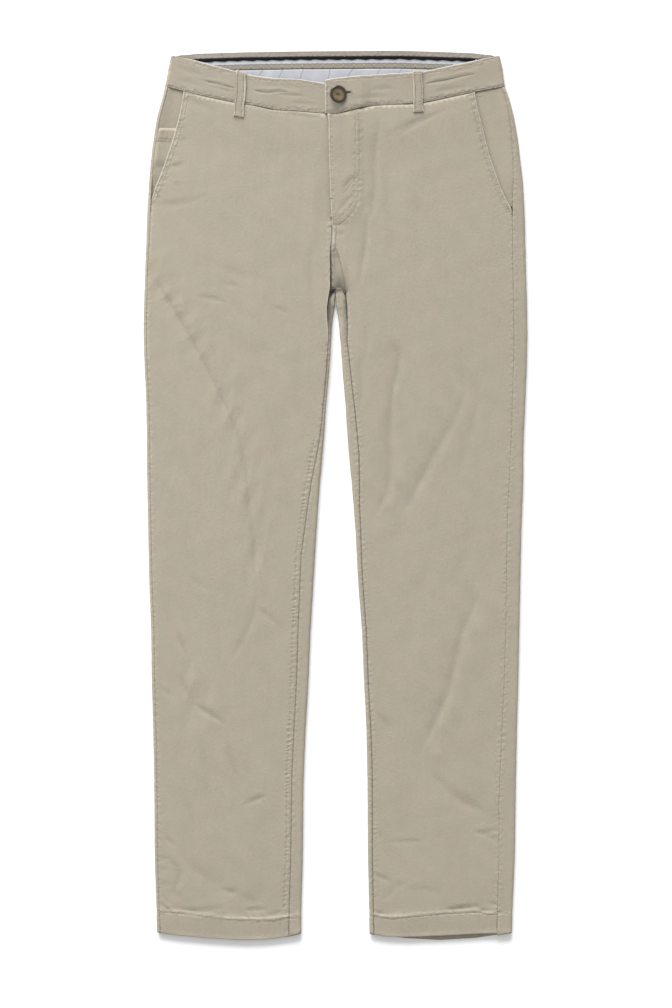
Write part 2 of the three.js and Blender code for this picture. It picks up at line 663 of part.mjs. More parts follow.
// Strips inside the back waist, each a distance below the rim; the dark tape's lower edge is wavy
const STRIP_BASE = WAIST_LIFT + CLOTH + SEAM_GAP;
const STRIPS = [
  { name: 'waist_facing', from: -204, to: 204, upper: 0.4, lower: 7.0, base: 0, cloth: 0.8 },
  { name: 'waist_tape_white', from: -190, to: 184, upper: 7.3, lower: 16.6, base: 0, cloth: 0.5 },
  { name: 'waist_tape_dark', from: -188, to: 182, upper: 7.3, lower: 11.2, base: 0.8, cloth: 0.5 },
  { name: 'waist_binding', from: -190, to: 184, upper: 16.9, lower: 22.6, base: 0, cloth: 0.9 },
  { name: 'waist_curtain', from: -178, to: 176, upper: 23.4, lower: 50, base: 0, cloth: 0.6 },
];
const STRIP_STEPS = 14;
const WAVY_STRIP = 'waist_tape_dark';
const WAVY_STEPS = 60;
const WAVE_HEIGHT = 0.7;
const WAVE_STEP = 3;           // columns to one wave of the dark tape's edge

const stripSteps = (strip) => (strip.name === WAVY_STRIP ? WAVY_STEPS : STRIP_STEPS);

function stripPoint(strip) {
  return (row, column) => {
    const x = mix(strip.from, strip.to, column / stripSteps(strip));
    const turn = strip.name === WAVY_STRIP ? (2 * Math.PI * column) / WAVE_STEP : 0;
    const wave = WAVE_HEIGHT * Math.sin(turn);
    const depth = row === 0 ? strip.upper : strip.lower + wave;
    const y = alongX(BACK_RIM, x) - depth;
    const z = STRIP_BASE + strip.base;
    return { outer: [x, y, z + strip.cloth], inner: [x, y, z] };
  };
}

// Pocket facings and the coin pocket, levelled under the fronts
const FACING_ROWS = [530, 519, 506, 492, 476, 459, 441, 420, 402, 388, 375];
const FACING_COLUMNS = 5;

function facingPoint(side, drop) {
  return (row, column) => {
    const nominal = FACING_ROWS[row];
    const place = (y) => {
      const outer = outseamAt(side, y) - HALF_GAP;
      const inner = frontOuter(side, y) - FACING_UNDER;
      return side * mix(outer, inner, column / FACING_COLUMNS);
    };
    const roughX = place(nominal);
    const y = bend(nominal, frontSeam(side, roughX) - HALF_GAP, HEM_NOMINAL);
    const x = place(y);
    const z = topHeight(side, x, y) - drop;
    return { outer: [x, y, z], inner: [x, y, z - FACING_CLOTH] };
  };
}

const COIN_ROWS = [474.5, 462, 449, 437, 426];
const COIN_COLUMNS = 3;
const COIN_UNDER = 14;

function coinPoint(row, column) {
  const y = COIN_ROWS[row];
  const outer = outseamAt(RIGHT, y) - 3;
  const inner = frontOuter(RIGHT, y) - COIN_UNDER;
  const x = -mix(outer, inner, column / COIN_COLUMNS);
  const z = topHeight(RIGHT, x, y) - RIGHT_FACING_DROP + SEAM_GAP + COIN_CLOTH;
  return { outer: [x, y, z], inner: [x, y, z - COIN_CLOTH] };
}

// Fly shield, sewn to the right front and lying under the overlap
const SHIELD_ROWS = [494, 470, 445, 420, 395, 380, 368];
const SHIELD_COLUMNS = 3;

function shieldPoint(row, column) {
  const y = SHIELD_ROWS[row];
  const start = flyEdge(y) + TONGUE + 1;
  const x = mix(start, start + SHIELD_WIDTH, column / SHIELD_COLUMNS);
  const z = topHeight(LEFT, x, y) + FLY_RISE - CLOTH - SEAM_GAP;
  return { outer: [x, y, z], inner: [x, y, z - SHIELD_CLOTH] };
}

// Belt loops over the front waistband, folded over its rim
const FRONT_LOOPS = [
  { name: 'belt_loop_front_right', side: RIGHT, top: -122.2, bottom: -126.2, end: 491.6, slant: -2.6 },
  { name: 'belt_loop_front_left', side: LEFT, top: 106.6, bottom: 108.0, end: 497.6, slant: 0.8 },
];
const LOOP_TURN = 6;
const LOOP_FACE = 6;

function frontLoop(loop) {
  const rimTable = loop.side === RIGHT ? FRONT_RIM_RIGHT : FRONT_RIM_LEFT;
  const middle = WAIST_HEIGHT - CLOTH / 2;
  const near = CLOTH / 2 + SEAM_GAP;
  const far = near + LOOP_CLOTH;
  return sheet(1 + LOOP_TURN + LOOP_FACE, 2, (row, column) => {
    const across = (column / 2 - 0.5) * LOOP_WIDTH;
    const rim = alongX(rimTable, loop.top + across) + 0.3;
    if (row === 0) {
      const x = loop.top + across;
      const y = rim - LOOP_INSIDE;
      return { outer: [x, y, middle - far], inner: [x, y, middle - near] };
    }
    if (row <= LOOP_TURN + 1) {
      const angle = Math.PI * ((row - 1) / LOOP_TURN - 0.5);
      const ring = (r) => [loop.top + across, rim + r * Math.cos(angle), middle + r * Math.sin(angle)];
      return { outer: ring(far), inner: ring(near) };
    }
    const t = (row - LOOP_TURN - 1) / LOOP_FACE;
    const x = mix(loop.top, loop.bottom, t * t) + across;
    const y = mix(rim, loop.end + loop.slant * (across / LOOP_WIDTH), t);
    return { outer: [x, y, middle + far], inner: [x, y, middle + near] };
  });
}

// Belt loops on the back, flat under the waistband
const BACK_LOOPS = [
  { name: 'belt_loop_back_centre', x: 0 },
  { name: 'belt_loop_back_right', x: -118 },
  { name: 'belt_loop_back_left', x: 118 },
];

function backLoop(loop) {
  return sheet(1, 1, (row, column) => {
    const x = loop.x + (column - 0.5) * LOOP_WIDTH;
    const y = row === 0 ? alongX(BACK_RIM, loop.x) - 1 : alongX(BACK_SEAM, loop.x) - BACK_LOOP_BELOW;
    return { outer: [x, y, BACK_LOOP_CLOTH], inner: [x, y, 0] };
  });
}

// Button with a dished face, its shank through the buttonhole
const BUTTON_STEPS = 36;

function button() {
  const underlapTop = WAIST_HEIGHT - UNDERLAP_INSET + SEAM_GAP;
  const base = WAIST_HEIGHT + OVERLAP_RISE + BUTTON.lift;
  const profile = [
    { r: 0, z: underlapTop },
    { r: BUTTON.shank, z: underlapTop },
    { r: BUTTON.shank, z: base },
    { r: BUTTON.radius - 2, z: base },
    { r: BUTTON.radius - 0.4, z: base + 0.7 },
    { r: BUTTON.radius, z: base + 1.6 },
    { r: BUTTON.radius - 0.5, z: base + BUTTON.edge - 0.3 },
    { r: BUTTON.radius - 1.6, z: base + BUTTON.edge },
    { r: BUTTON.radius - 3.0, z: base + BUTTON.edge - 0.3 },
    { r: BUTTON.radius - 4.2, z: base + BUTTON.hollow },
    { r: 2.4, z: base + BUTTON.hollow - 0.2 },
    { r: 0, z: base + BUTTON.hollow - 0.3 },
  ];
  const positions = [];
  const index = [];
  const ring = profile.length - 2;
  const push = (r, z, angle) => positions.push(
    BUTTON.x + r * Math.cos(angle),
    BUTTON.y + r * Math.sin(angle),
    z,
  );
  push(0, profile[0].z, 0);
  for (let step = 0; step < BUTTON_STEPS; step += 1) {
    for (let i = 1; i <= ring; i += 1) {
      push(profile[i].r, profile[i].z, (2 * Math.PI * step) / BUTTON_STEPS);
    }
  }
  push(0, profile[ring + 1].z, 0);
  const last = positions.length / 3 - 1;
  const at = (step, i) => 1 + (step % BUTTON_STEPS) * ring + i;
  for (let step = 0; step < BUTTON_STEPS; step += 1) {
    index.push(0, at(step + 1, 0), at(step, 0));
    for (let i = 0; i < ring - 1; i += 1) {
      index.push(at(step, i), at(step + 1, i), at(step + 1, i + 1));
      index.push(at(step, i), at(step + 1, i + 1), at(step, i + 1));
    }
    index.push(at(step, ring - 1), at(step + 1, ring - 1), last);
  }
  return solid(positions, index);
}

// Materials by cloth
const CLOTH_COLOUR = 0xb6ad9b;
const COLOURS = {
  twill: { color: CLOTH_COLOUR, roughness: 0.9 },
  band: { color: 0xaba292, roughness: 0.9 },
  dark: { color: 0x262a36, roughness: 0.85 },
  white: { color: 0xd8d6d4, roughness: 0.8 },
  binding: { color: 0xada592, roughness: 0.9 },
  curtain: { color: 0xb9b9bd, roughness: 0.85 },
  horn: { color: 0x5a4a38, roughness: 0.35 },
};

const group = new THREE.Group();
function add(name, geometry, look) {
  const material = new THREE.MeshStandardMaterial({ ...COLOURS[look], metalness: 0 });
  material.name = `${name}_material`;
  const mesh = new THREE.Mesh(geometry, material);
  mesh.name = name;
  group.add(mesh);
}

const PANEL_ROWS = ROWS.length - 1;
add('right_front', sheet(PANEL_ROWS, FRONT_COLUMNS, rightFrontPoint), 'twill');
add('left_front', sheet(PANEL_ROWS, FRONT_COLUMNS, leftFrontPoint, leftFrontOn), 'twill');
add('right_back', sheet(PANEL_ROWS, BACK_COLUMNS, (r, c) => backPoint(RIGHT, r, c), backOn), 'twill');
add('left_back', sheet(PANEL_ROWS, BACK_COLUMNS, (r, c) => backPoint(LEFT, r, c), backOn), 'twill');
for (const [name, side] of [['waistband_right', RIGHT], ['waistband_left', LEFT]]) {
  const rows = BAND_ROWS.length - 1;
  add(name, sheet(rows, BAND_COLUMNS, (r, c) => bandPoint(side, r, c), bandOn(side)), 'band');
}
const STRIP_LOOKS = {
  waist_facing: 'band',
  waist_tape_white: 'white',
  waist_tape_dark: 'dark',
  waist_binding: 'binding',
  waist_curtain: 'curtain',
};
for (const strip of STRIPS) {
  add(strip.name, sheet(1, stripSteps(strip), stripPoint(strip)), STRIP_LOOKS[strip.name]);
}
const FACING_SPANS = FACING_ROWS.length - 1;
const FACINGS = [
  { name: 'pocket_facing_right', side: RIGHT, drop: RIGHT_FACING_DROP },
  { name: 'pocket_facing_left', side: LEFT, drop: LEFT_FACING_DROP },
];
for (const { name, side, drop } of FACINGS) {
  add(name, sheet(FACING_SPANS, FACING_COLUMNS, facingPoint(side, drop)), 'twill');
}
add('coin_pocket', sheet(COIN_ROWS.length - 1, COIN_COLUMNS, coinPoint), 'twill');
add('fly_shield', sheet(SHIELD_ROWS.length - 1, SHIELD_COLUMNS, shieldPoint), 'twill');
for (const loop of FRONT_LOOPS) {
  add(loop.name, frontLoop(loop), 'band');
}
for (const loop of BACK_LOOPS) {
  add(loop.name, backLoop(loop), 'band');
}
add('waist_button', button(), 'horn');

export default group;
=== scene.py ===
import bmesh
import bpy
import json
import math
from collections import namedtuple

import numpy as np
from mathutils import Matrix, Vector
from mathutils.bvhtree import BVHTree
from mathutils.kdtree import KDTree

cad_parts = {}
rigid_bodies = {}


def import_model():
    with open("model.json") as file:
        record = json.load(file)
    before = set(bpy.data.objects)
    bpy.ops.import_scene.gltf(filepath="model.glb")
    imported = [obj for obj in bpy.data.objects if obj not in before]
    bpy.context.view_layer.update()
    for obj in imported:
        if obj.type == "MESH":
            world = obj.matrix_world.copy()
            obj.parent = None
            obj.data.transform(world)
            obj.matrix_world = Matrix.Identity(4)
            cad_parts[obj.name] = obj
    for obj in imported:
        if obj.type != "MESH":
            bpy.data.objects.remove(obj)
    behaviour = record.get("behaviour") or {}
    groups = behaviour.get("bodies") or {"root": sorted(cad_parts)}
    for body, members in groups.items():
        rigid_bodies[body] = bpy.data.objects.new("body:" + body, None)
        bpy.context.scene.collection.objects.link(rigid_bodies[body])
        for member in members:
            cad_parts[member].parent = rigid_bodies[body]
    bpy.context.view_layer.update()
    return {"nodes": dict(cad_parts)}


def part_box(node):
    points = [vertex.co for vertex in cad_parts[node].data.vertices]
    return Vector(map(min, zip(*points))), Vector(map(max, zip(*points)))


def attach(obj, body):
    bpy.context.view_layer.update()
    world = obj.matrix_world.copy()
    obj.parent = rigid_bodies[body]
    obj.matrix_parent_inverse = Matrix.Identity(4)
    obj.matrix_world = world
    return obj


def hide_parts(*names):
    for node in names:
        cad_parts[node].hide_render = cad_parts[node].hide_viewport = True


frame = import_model()

# FRONT PANELS
# Each trouser front is one piece of washed cotton twill, seamed to the back and to the
# waistband. The cloth is a thin skin over its solid, with the creases and the seam puckers
# that wear left in it, and thread rows that sink into it.
MM = 0.001
FAR = 30 * MM
TWILL_THICK = 0.7 * MM
COARSE = 7.6 * MM
MIDDLE = 3.6 * MM
FINE = 2.0 * MM
FINE_REACH = 8 * MM        # how far from a sewn line the mesh is fine
NO_AREA = (0.03 * MM) ** 2
PINHOLE_SIDES = 14         # a hole with more sides than this is meant, like the buttonhole
THIN_FACE = 0.06           # a face with less area than this share of its longest edge squared is evened out
MIDDLE_REACH = 8 * MM      # and from a crease, where it is half as fine
SKIN_TURN = math.radians(66)
SEAM_CLOSE = 0.17 * MM     # half the gap that the solids leave at a seam

# A crease bends from its start through its middle to its end, and a fold follows a longer line.
# A pucker row lies beside a line.
Crease = namedtuple("Crease", "x0 y0 x1 y1 x2 y2 width depth")
Fold = namedtuple("Fold", "line width depth")
Pucker = namedtuple("Pucker", "line centre spread period height")

RIGHT_FRONT_CREASES = [
    Fold([(-246, 300), (-220, 258), (-194, 215), (-176, 182), (-158, 148), (-140, 112), (-128, 79)], 4.4, -0.95),
    Fold([(-150, 130), (-127, 79), (-118, 36), (-114, -6), (-109, -45), (-106, -74), (-103, -133)], 5.2, -0.80),
    Fold([(-104, -110), (-103, -133), (-109, -162), (-122, -191), (-140, -222)], 4.6, -0.60),
    Crease(-190, -106, -177, -116, -164, -124, 5.2, -0.50),
    Crease(-102, -146, -88, -157, -73, -170, 4.6, -0.75),
    Crease(-204, -184, -193, -209, -188, -218, 4.0, -0.70),
    Crease(-180, -274, -161, -286, -145, -297, 4.2, -1.20),
    Crease(-203, -237, -190, -258, -180, -274, 6.0, -0.60),
    Crease(-140, -307, -137, -342, -122, -373, 6.5, -0.60),
    Crease(-119, -402, -106, -397, -92, -391, 3.4, -1.00),
    Crease(-229, -249, -221, -255, -212, -262, 3.4, -0.60),
    Crease(-194, -398, -190, -411, -185, -425, 5.2, -0.50),
    Crease(-194, -476, -165, -500, -148, -511, 6.5, -0.60),
    Crease(-150, -511, -139, -515, -127, -518, 3.6, -0.90),
    Crease(-127, -518, -110, -526, -98, -532, 6.0, -0.50),
    Crease(-206, -536, -180, -541, -148, -536, 3.6, -0.80),
    Crease(-119, -539, -105, -539, -90, -538, 2.8, -1.10),
    Crease(-90, -546, -80, -545, -70, -541, 2.8, -0.80),
    Crease(-218, -472, -204, -492, -211, -514, 5.0, -0.80),
    Crease(-211, -514, -205, -520, -199, -524, 6.0, -0.70),
    Crease(-230, -471, -225, -473, -219, -473, 2.8, -0.60),
    Crease(-230, -486, -224, -487, -218, -487, 2.8, -0.50),
    Crease(-229, -505, -222, -506, -215, -506, 2.8, -0.60),
    Crease(-227, -526, -217, -536, -207, -545, 2.4, 0.60),
    Crease(-228, -540, -222, -537, -215, -532, 2.2, 0.50),
    Crease(-228, -533, -222, -535, -216, -541, 2.4, -0.60),
    Crease(-78, 244, -70, 241, -61, 236, 3.4, -0.65),
    Crease(-145, 275, -135, 273, -126, 271, 3.4, -0.55),
    Crease(-180, 257, -164, 256, -147, 251, 3.8, -0.65),
    Crease(-157, 298, -127, 290, -96, 280, 9.1, -0.45),
    Crease(-199, 513, -165, 504, -156, 484, 6.0, -0.55),
    Crease(-110, 506, -96, 503, -80, 497, 3.4, -0.60),
    Crease(-74, 497, -48, 494, -22, 490, 3.4, -0.60),
    Crease(-28, 436, -28, 384, -29, 332, 7.8, 0.50),
    Crease(-217, 430, -206, 428, -195, 433, 3.0, -0.75),
    Crease(-234, 379, -204, 379, -171, 388, 4.2, -0.55),
    Crease(-212, 405, -205, 403, -198, 405, 3.0, -0.45),
    Crease(-206, 462, -198, 461, -190, 463, 3.0, -0.40),
    Crease(-46, 202, -51, 150, -49, 98, 10.4, -0.40),
    Crease(-85, 98, -68, 32, -59, -32, 10.4, -0.30),
    Crease(-148, 214, -96, 186, -46, 173, 11.7, -0.30),
    Crease(-220, 84, -189, 32, -170, -32, 11.7, -0.30),
    Crease(-176, -318, -168, -358, -171, -396, 9.1, -0.30),
    Crease(-30, 330, -33, 280, -28, 225, 6.0, -0.60),
    Crease(-204.5, -543, -205, -556, -204.5, -570, 1.8, -0.50),
    Crease(-70.5, -548, -71, -560, -70, -574, 1.8, -0.45),
    Crease(-62.0, -540, -60.5, -552, -64, -566, 1.8, -0.60),
    Crease(-222, -441, -216, -450, -207, -456, 3.0, -0.60),
    Crease(-100, -560, -98, -566, -99, -574, 2.6, -0.30),
    Crease(-150, -556, -149, -566, -150, -574, 3.0, -0.25),
]
LEFT_FRONT_CREASES = [
    Fold([(57, 500), (53, 466), (50, 440), (49, 397), (46, 370), (39, 345)], 6.0, -0.95),
    Fold([(41, 372), (40, 350), (38, 325), (34, 298), (29, 262)], 4.2, -0.90),
    Fold([(34, 182), (32, 160), (33, 135), (30, 104)], 5.0, -0.55),
    Crease(64, 425, 68, 351, 72, 280, 9.1, -0.45),
    Crease(103, 390, 107, 375, 109, 362, 6.0, -0.50),
    Crease(72, 469, 99, 484, 122, 492, 4.0, -0.75),
    Crease(82, 468, 122, 491, 152, 502, 3.6, -0.65),
    Crease(185, 508, 191, 511, 198, 512, 2.6, -0.90),
    Crease(9, 396, 20, 409, 31, 419, 3.0, -0.85),
    Crease(3, 368, 14, 381, 26, 393, 3.0, -0.65),
    Crease(-3, 338, 6, 339, 15, 342, 2.8, -0.50),
    Crease(39, 218, 40, 203, 41, 187, 4.0, -0.60),
    Fold([(60, 212), (74, 198), (81, 182), (80, 160), (74, 140), (70, 112)], 5.4, -0.75),
    Fold([(76, 150), (72, 120), (68, 72), (69, 30), (66, 2), (56, -18), (42, -34)], 6.4, -0.90),
    Fold([(172, 150), (164, 122), (150, 92), (130, 58), (110, 20), (96, -8), (78, -40)], 6.4, -0.80),
    Crease(184, 118, 172, 77, 161, 32, 7.8, -0.55),
    Fold([(190, -118), (176, -152), (162, -182), (153, -222), (144, -258), (130, -292), (106, -344)], 6.2, -1.05),
    Crease(129, -364, 155, -389, 193, -412, 6.5, -0.80),
    Crease(178, -433, 191, -439, 210, -434, 3.4, -0.80),
    Crease(188, -441, 213, -449, 228, -456, 3.6, -0.50),
    Crease(51, -283, 62, -292, 73, -306, 5.2, -0.55),
    Crease(54, -433, 57, -440, 60, -449, 3.6, -0.55),
    Crease(63, -452, 88, -451, 114, -450, 3.4, -0.50),
    Crease(47, -494, 62, -498, 73, -504, 3.4, -0.80),
    Crease(76, -508, 72, -517, 62, -525, 3.6, -0.65),
    Crease(75, -509, 83, -507, 93, -507, 3.2, -0.55),
    Crease(88, -514, 110, -512, 134, -516, 3.9, -0.50),
    Crease(145, -539, 165, -537, 187, -534, 3.0, -1.20),
    Crease(188, -538, 192, -541, 197, -544, 2.8, -0.80),
    Crease(195, -530, 203, -531, 213, -534, 2.8, -0.60),
    Crease(48, -541, 54, -544, 62, -545, 2.8, -0.90),
    Crease(123, -84, 110, -113, 84, -136, 10.4, -0.30),
    Crease(175, -32, 164, -84, 136, -124, 11.7, -0.30),
    Crease(187.5, -544, 187, -556, 187.5, -568, 1.8, -0.50),
    Crease(211, -540, 210.5, -554, 211, -567, 1.8, -0.40),
    Crease(120, -550, 119, -560, 120, -571, 2.8, -0.30),
    Crease(86, -553, 85, -562, 86, -573, 2.6, -0.25),
    Crease(162, -547, 161, -557, 162, -569, 2.6, -0.25),
]
CREASE_STEPS = 12
FOLD_TAPER = 0.28
CREASE_TAPER = 0.45        # the share of its length over which each end of a crease fades
CREASE_RUN_ON = 0.22       # how far a crease fades on past each end, as a share of its length
CREASE_DEPTH = 0.68        # what is left of a crease's depth once the cloth is smoothed by hand
CREASE_SHADE = 0.12        # painted shade down in a crease, for each millimetre of its depth
ROLL_SHARE = 0.38          # raised roll on one side of a crease, as a share of its depth

RIGHT_POCKET_EDGE = [(-197, 525), (-203.5, 490), (-211, 463), (-219.6, 438), (-227.1, 416), (-233.6, 402), (-239, 386)]
LEFT_POCKET_EDGE = [(180.5, 524), (183.7, 507), (199.4, 443), (215.9, 396), (228.4, 371)]
FLY_FOLD = [(-9.0, 497), (-9.0, 490), (-7.9, 431), (-6.5, 394), (-4.9, 361), (-4.5, 351)]
CROTCH_SEAM = [(-4.5, 351), (-5.2, 329), (-7.2, 316), (-6.4, 300), (-6.5, 272)]
CROTCH_ROLL = [(-0.7, 322), (6.1, 309), (10.1, 287), (13, 270), (14.7, 250), (15.6, 237), (15, 200)]
RIGHT_CROTCH_ROLL = [(-6.5, 274), (-9.4, 259), (-10.8, 244), (-11.2, 230), (-9.8, 214), (-9, 200)]
J_STITCH = [
    (30.8, 494), (30.8, 424), (29.6, 392), (27.5, 378), (23, 369), (16.8, 362), (10.5, 356.5),
    (4.7, 351.8), (-4.0, 350.8),
]
J_INNER = [(25.6, 494), (25.6, 424), (24.4, 393), (22, 381), (17.5, 373), (11, 366), (3, 360)]
RIGHT_INSEAM = [
    (-9, 230), (-9.8, 200), (-10.5, 150), (-15, 100), (-21.3, 68.1), (-27.2, 38.4), (-33.8, 1.8),
    (-38.7, -34.6), (-44.5, -77.7), (-46.1, -119.2), (-48.6, -177.2), (-49.5, -205.1),
    (-52.8, -287.9), (-56.2, -354.4), (-56.9, -437.2), (-60.2, -540),
]
LEFT_INSEAM = [
    (15.3, 205), (17.3, 183), (20.4, 151.5), (23.5, 117), (26.7, 95), (30.6, 63.7), (31.5, 33.8),
    (30.6, -6.5), (33.1, -65), (37.1, -136.5), (41, -201.5), (43.6, -266.5), (47.5, -344.5),
    (48.1, -435.5), (48.8, -540),
]
LEFT_OUTSEAM = [
    (221.7, 530), (230, 450), (230, 383), (231, 292), (232.4, 195), (230, 126), (229.5, 82),
    (225, 5), (222.7, -94), (221.8, -177), (219.3, -255), (216, -321), (212.7, -404), (211.4, -540),
]
RIGHT_HEM = [(-231.8, -568.8), (-204.8, -572.5), (-164.5, -576.2), (-119.9, -578.5), (-90, -577.7), (-60.2, -574), (-45.2, -570.2)]
LEFT_HEM = [(45.8, -570.2), (63.6, -574), (93.5, -574.7), (145.7, -572.5), (187.5, -570.2), (227.8, -569.4)]
RIGHT_HEM_TOP = [(-232, -542), (-204.5, -543.8), (-172, -548), (-138.5, -552), (-105, -553.5), (-80, -553.8), (-61.8, -548.8), (-44, -549.6)]
LEFT_HEM_TOP = [(44, -546), (72.2, -551), (98.7, -548), (138.5, -544.7), (186.5, -542.1), (198.3, -545.3), (231, -543)]


def offset_line(line, offset):
    """The line moved sideways, to the left of its direction for a positive offset."""
    moved = []
    for i, (x, y) in enumerate(line):
        before = line[max(0, i - 1)]
        after = line[min(len(line) - 1, i + 1)]
        dx, dy = after[0] - before[0], after[1] - before[1]
        length = math.hypot(dx, dy)
        moved.append((x - dy / length * offset, y + dx / length * offset))
    return moved


def along_line(points, line):
    """Signed distance to a line seen from above, left positive, and the length along it."""
    nearest = np.full(len(points), 1e9)
    signed = np.full(len(points), 1e9)
    along = np.zeros(len(points))
    x, y = points[:, 0], points[:, 1]
    run = 0.0
    last = len(line) - 2
    for i, (start, end) in enumerate(zip(line[:-1], line[1:])):
        ax, ay, bx, by = (value * MM for value in (*start, *end))
        dx, dy = bx - ax, by - ay
        length = math.hypot(dx, dy)
        raw = ((x - ax) * dx + (y - ay) * dy) / length ** 2
        share = np.clip(raw, 0, 1)
        gap = np.hypot(x - ax - share * dx, y - ay - share * dy)
        side = np.where(dx * (y - ay) - dy * (x - ax) >= 0, 1.0, -1.0)
        beyond = (raw < 0) & (i == 0) | (raw > 1) & (i == last)
        closer = gap < nearest
        signed = np.where(closer, gap * np.where(beyond, 1.0, side), signed)
        along = np.where(closer, run + share * length, along)
        nearest = np.where(closer, gap, nearest)
        run += length
    return signed, along


def nearest_line(points, lines):
    """Signed distance to whichever line is nearest, no more than FAR."""
    best = np.full(len(points), FAR)
    for line in lines:
        signed, _ = along_line(points, line)
        best = np.where(np.abs(signed) < np.abs(best), signed, best)
    return best


def crease_form(points, creases):
    """Height in metres that the creases and the cloth's own slack add at each point, and how
    much painted shade darkens the cloth down in them."""
    x, y = points[:, 0] / MM, points[:, 1] / MM
    height = 0.20 * np.sin(x / 23 + np.sin(y / 41)) * np.sin(y / 37 + 1.3 * np.sin(x / 31))
    height += 0.12 * np.sin(x / 9.5 + 2.1 * np.sin(y / 19)) * np.sin(y / 13 + x / 27)
    shade = np.zeros(len(points))
    for crease in creases:
        if isinstance(crease, Fold):
            line = crease.line
            taper = FOLD_TAPER
        else:
            start = np.array([crease.x0, crease.y0], float)
            end = np.array([crease.x2, crease.y2], float)
            bend = 2 * np.array([crease.x1, crease.y1]) - (start + end) / 2
            t = np.linspace(-CREASE_RUN_ON, 1 + CREASE_RUN_ON, CREASE_STEPS + 1)[:, None]
            line = [tuple(spot) for spot in (1 - t) ** 2 * start + 2 * t * (1 - t) * bend + t ** 2 * end]
            taper = CREASE_TAPER
        signed, along = along_line(points, line)
        whole = along.max()
        share_along = along / max(whole, 1 * MM)
        fade = np.clip(np.minimum(share_along, 1 - share_along) / taper, 0, 1)
        fade = fade * fade * (3 - 2 * fade)
        width = crease.width * (0.35 + 0.65 * fade)
        reach = np.clip(np.abs(signed) / MM / width, 0, 6)
        fade = fade * (0.86 + 0.14 * np.sin(share_along * 9 + line[0][0]))
        trough = np.exp(-reach ** 2)
        roll = np.exp(-((reach - 1.9) / 1.1) ** 2)
        share = np.where(signed > 0, ROLL_SHARE, 0.3 * ROLL_SHARE)
        height += CREASE_DEPTH * crease.depth * fade * (trough - share * roll)
        shade += CREASE_SHADE * max(0, -crease.depth) * fade * np.exp(-(reach * 1.5) ** 2)
    return height * MM, shade


def pucker_height(points, puckers):
    """Height of the small gathers that a tight thread pulls up beside a seam."""
    height = np.zeros(len(points))
    for pucker in puckers:
        signed, along = along_line(points, pucker.line)
        signed, along = signed / MM, along / MM
        wander = 0.45 * np.sin(along / 17) + 0.33 * np.sin(along / 7.3 + 1.0) + 0.4 * np.sin(along / 61)
        phase = 2 * math.pi * (along / pucker.period + wander) + 0.30 * signed
        swell = 0.58 + 0.27 * np.sin(along / 29 + pucker.centre) + 0.25 * np.sin(along / 11.3 + 2 * pucker.centre)
        near = np.exp(-((signed - pucker.centre) / pucker.spread) ** 2)
        height += pucker.height * swell * near * np.sin(phase)
    return height * MM


def painted_shade_share(points, painted_shade_spots):
    """How much painted shade darkens the cloth where it lies deep in a fold, from 0 to 0.95."""
    light = np.ones(len(points))
    for x, y, reach_x, reach_y, share in painted_shade_spots:
        away = ((points[:, 0] / MM - x) / reach_x) ** 2 + ((points[:, 1] / MM - y) / reach_y) ** 2
        light *= 1 - share * np.exp(-away)
    return np.clip(1 - light, 0, 0.95)


def outer_skin(node, start_highest=True):
    """The outer face of a solid's cloth, cut free along its sharp edges."""
    skin = bmesh.new()
    skin.from_mesh(frame["nodes"][node].data)
    bmesh.ops.remove_doubles(skin, verts=skin.verts, dist=0.005 * MM)
    skin.normal_update()
    pick = max if start_highest else min
    first = pick(skin.faces, key=lambda face: face.calc_center_median().z)
    kept = {first}
    waiting = [first]
    while waiting:
        face = waiting.pop()
        for edge in face.edges:
            for other in edge.link_faces:
                if other not in kept and face.normal.angle(other.normal, math.pi) < SKIN_TURN:
                    kept.add(other)
                    waiting.append(other)
    spare = [face for face in skin.faces if face not in kept]
    bmesh.ops.delete(skin, geom=spare, context="FACES")
    return skin


def positions(skin):
    return np.array([vert.co[:] for vert in skin.verts])


def crease_lines(creases):
    """The lines that the creases follow, near enough to place the mesh by."""
    return [c.line if isinstance(c, Fold) else [(c.x0, c.y0), (c.x1, c.y1), (c.x2, c.y2)] for c in creases]


def refine(skin, cell, fine_cell=None, fine_lines=(), fine_above=-1.0, creases=()):
    """Splits long edges until the mesh is fine enough: finest beside its sewn lines, then in
    its creases."""
    for _ in range(9):
        points = positions(skin)
        limits = np.full(len(points), cell)
        if creases:
            in_crease = np.abs(nearest_line(points, crease_lines(creases))) < MIDDLE_REACH
            limits[in_crease] = MIDDLE
        if fine_lines:
            sewn_near = np.abs(nearest_line(points, fine_lines)) < FINE_REACH
            limits[sewn_near & (points[:, 2] > fine_above)] = fine_cell
        skin.verts.index_update()
        long_edges = []
        for edge in skin.edges:
            ends = edge.verts
            limit = max(limits[ends[0].index], limits[ends[1].index])
            if edge.calc_length() > limit:
                long_edges.append(edge)
        if not long_edges:
            break
        bmesh.ops.subdivide_edges(skin, edges=long_edges, cuts=1)
        bmesh.ops.triangulate(skin, faces=[face for face in skin.faces if len(face.verts) > 3])
    bmesh.ops.dissolve_degenerate(skin, edges=skin.edges, dist=0.08 * MM)
    spare = [face for face in skin.faces if face.calc_area() < NO_AREA]
    bmesh.ops.delete(skin, geom=spare, context="FACES")
    bmesh.ops.holes_fill(skin, edges=[edge for edge in skin.edges if edge.is_boundary], sides=PINHOLE_SIDES)
    bmesh.ops.triangulate(skin, faces=[face for face in skin.faces if len(face.verts) > 3])
    thin = set()
    for face in skin.faces:
        longest = max(edge.calc_length() for edge in face.edges)
        if face.calc_area() < THIN_FACE * longest ** 2:
            thin.update(vert for vert in face.verts if not vert.is_boundary)
    for _ in range(5):
        bmesh.ops.smooth_vert(skin, verts=list(thin), factor=0.5, use_axis_x=True, use_axis_y=True, use_axis_z=True)


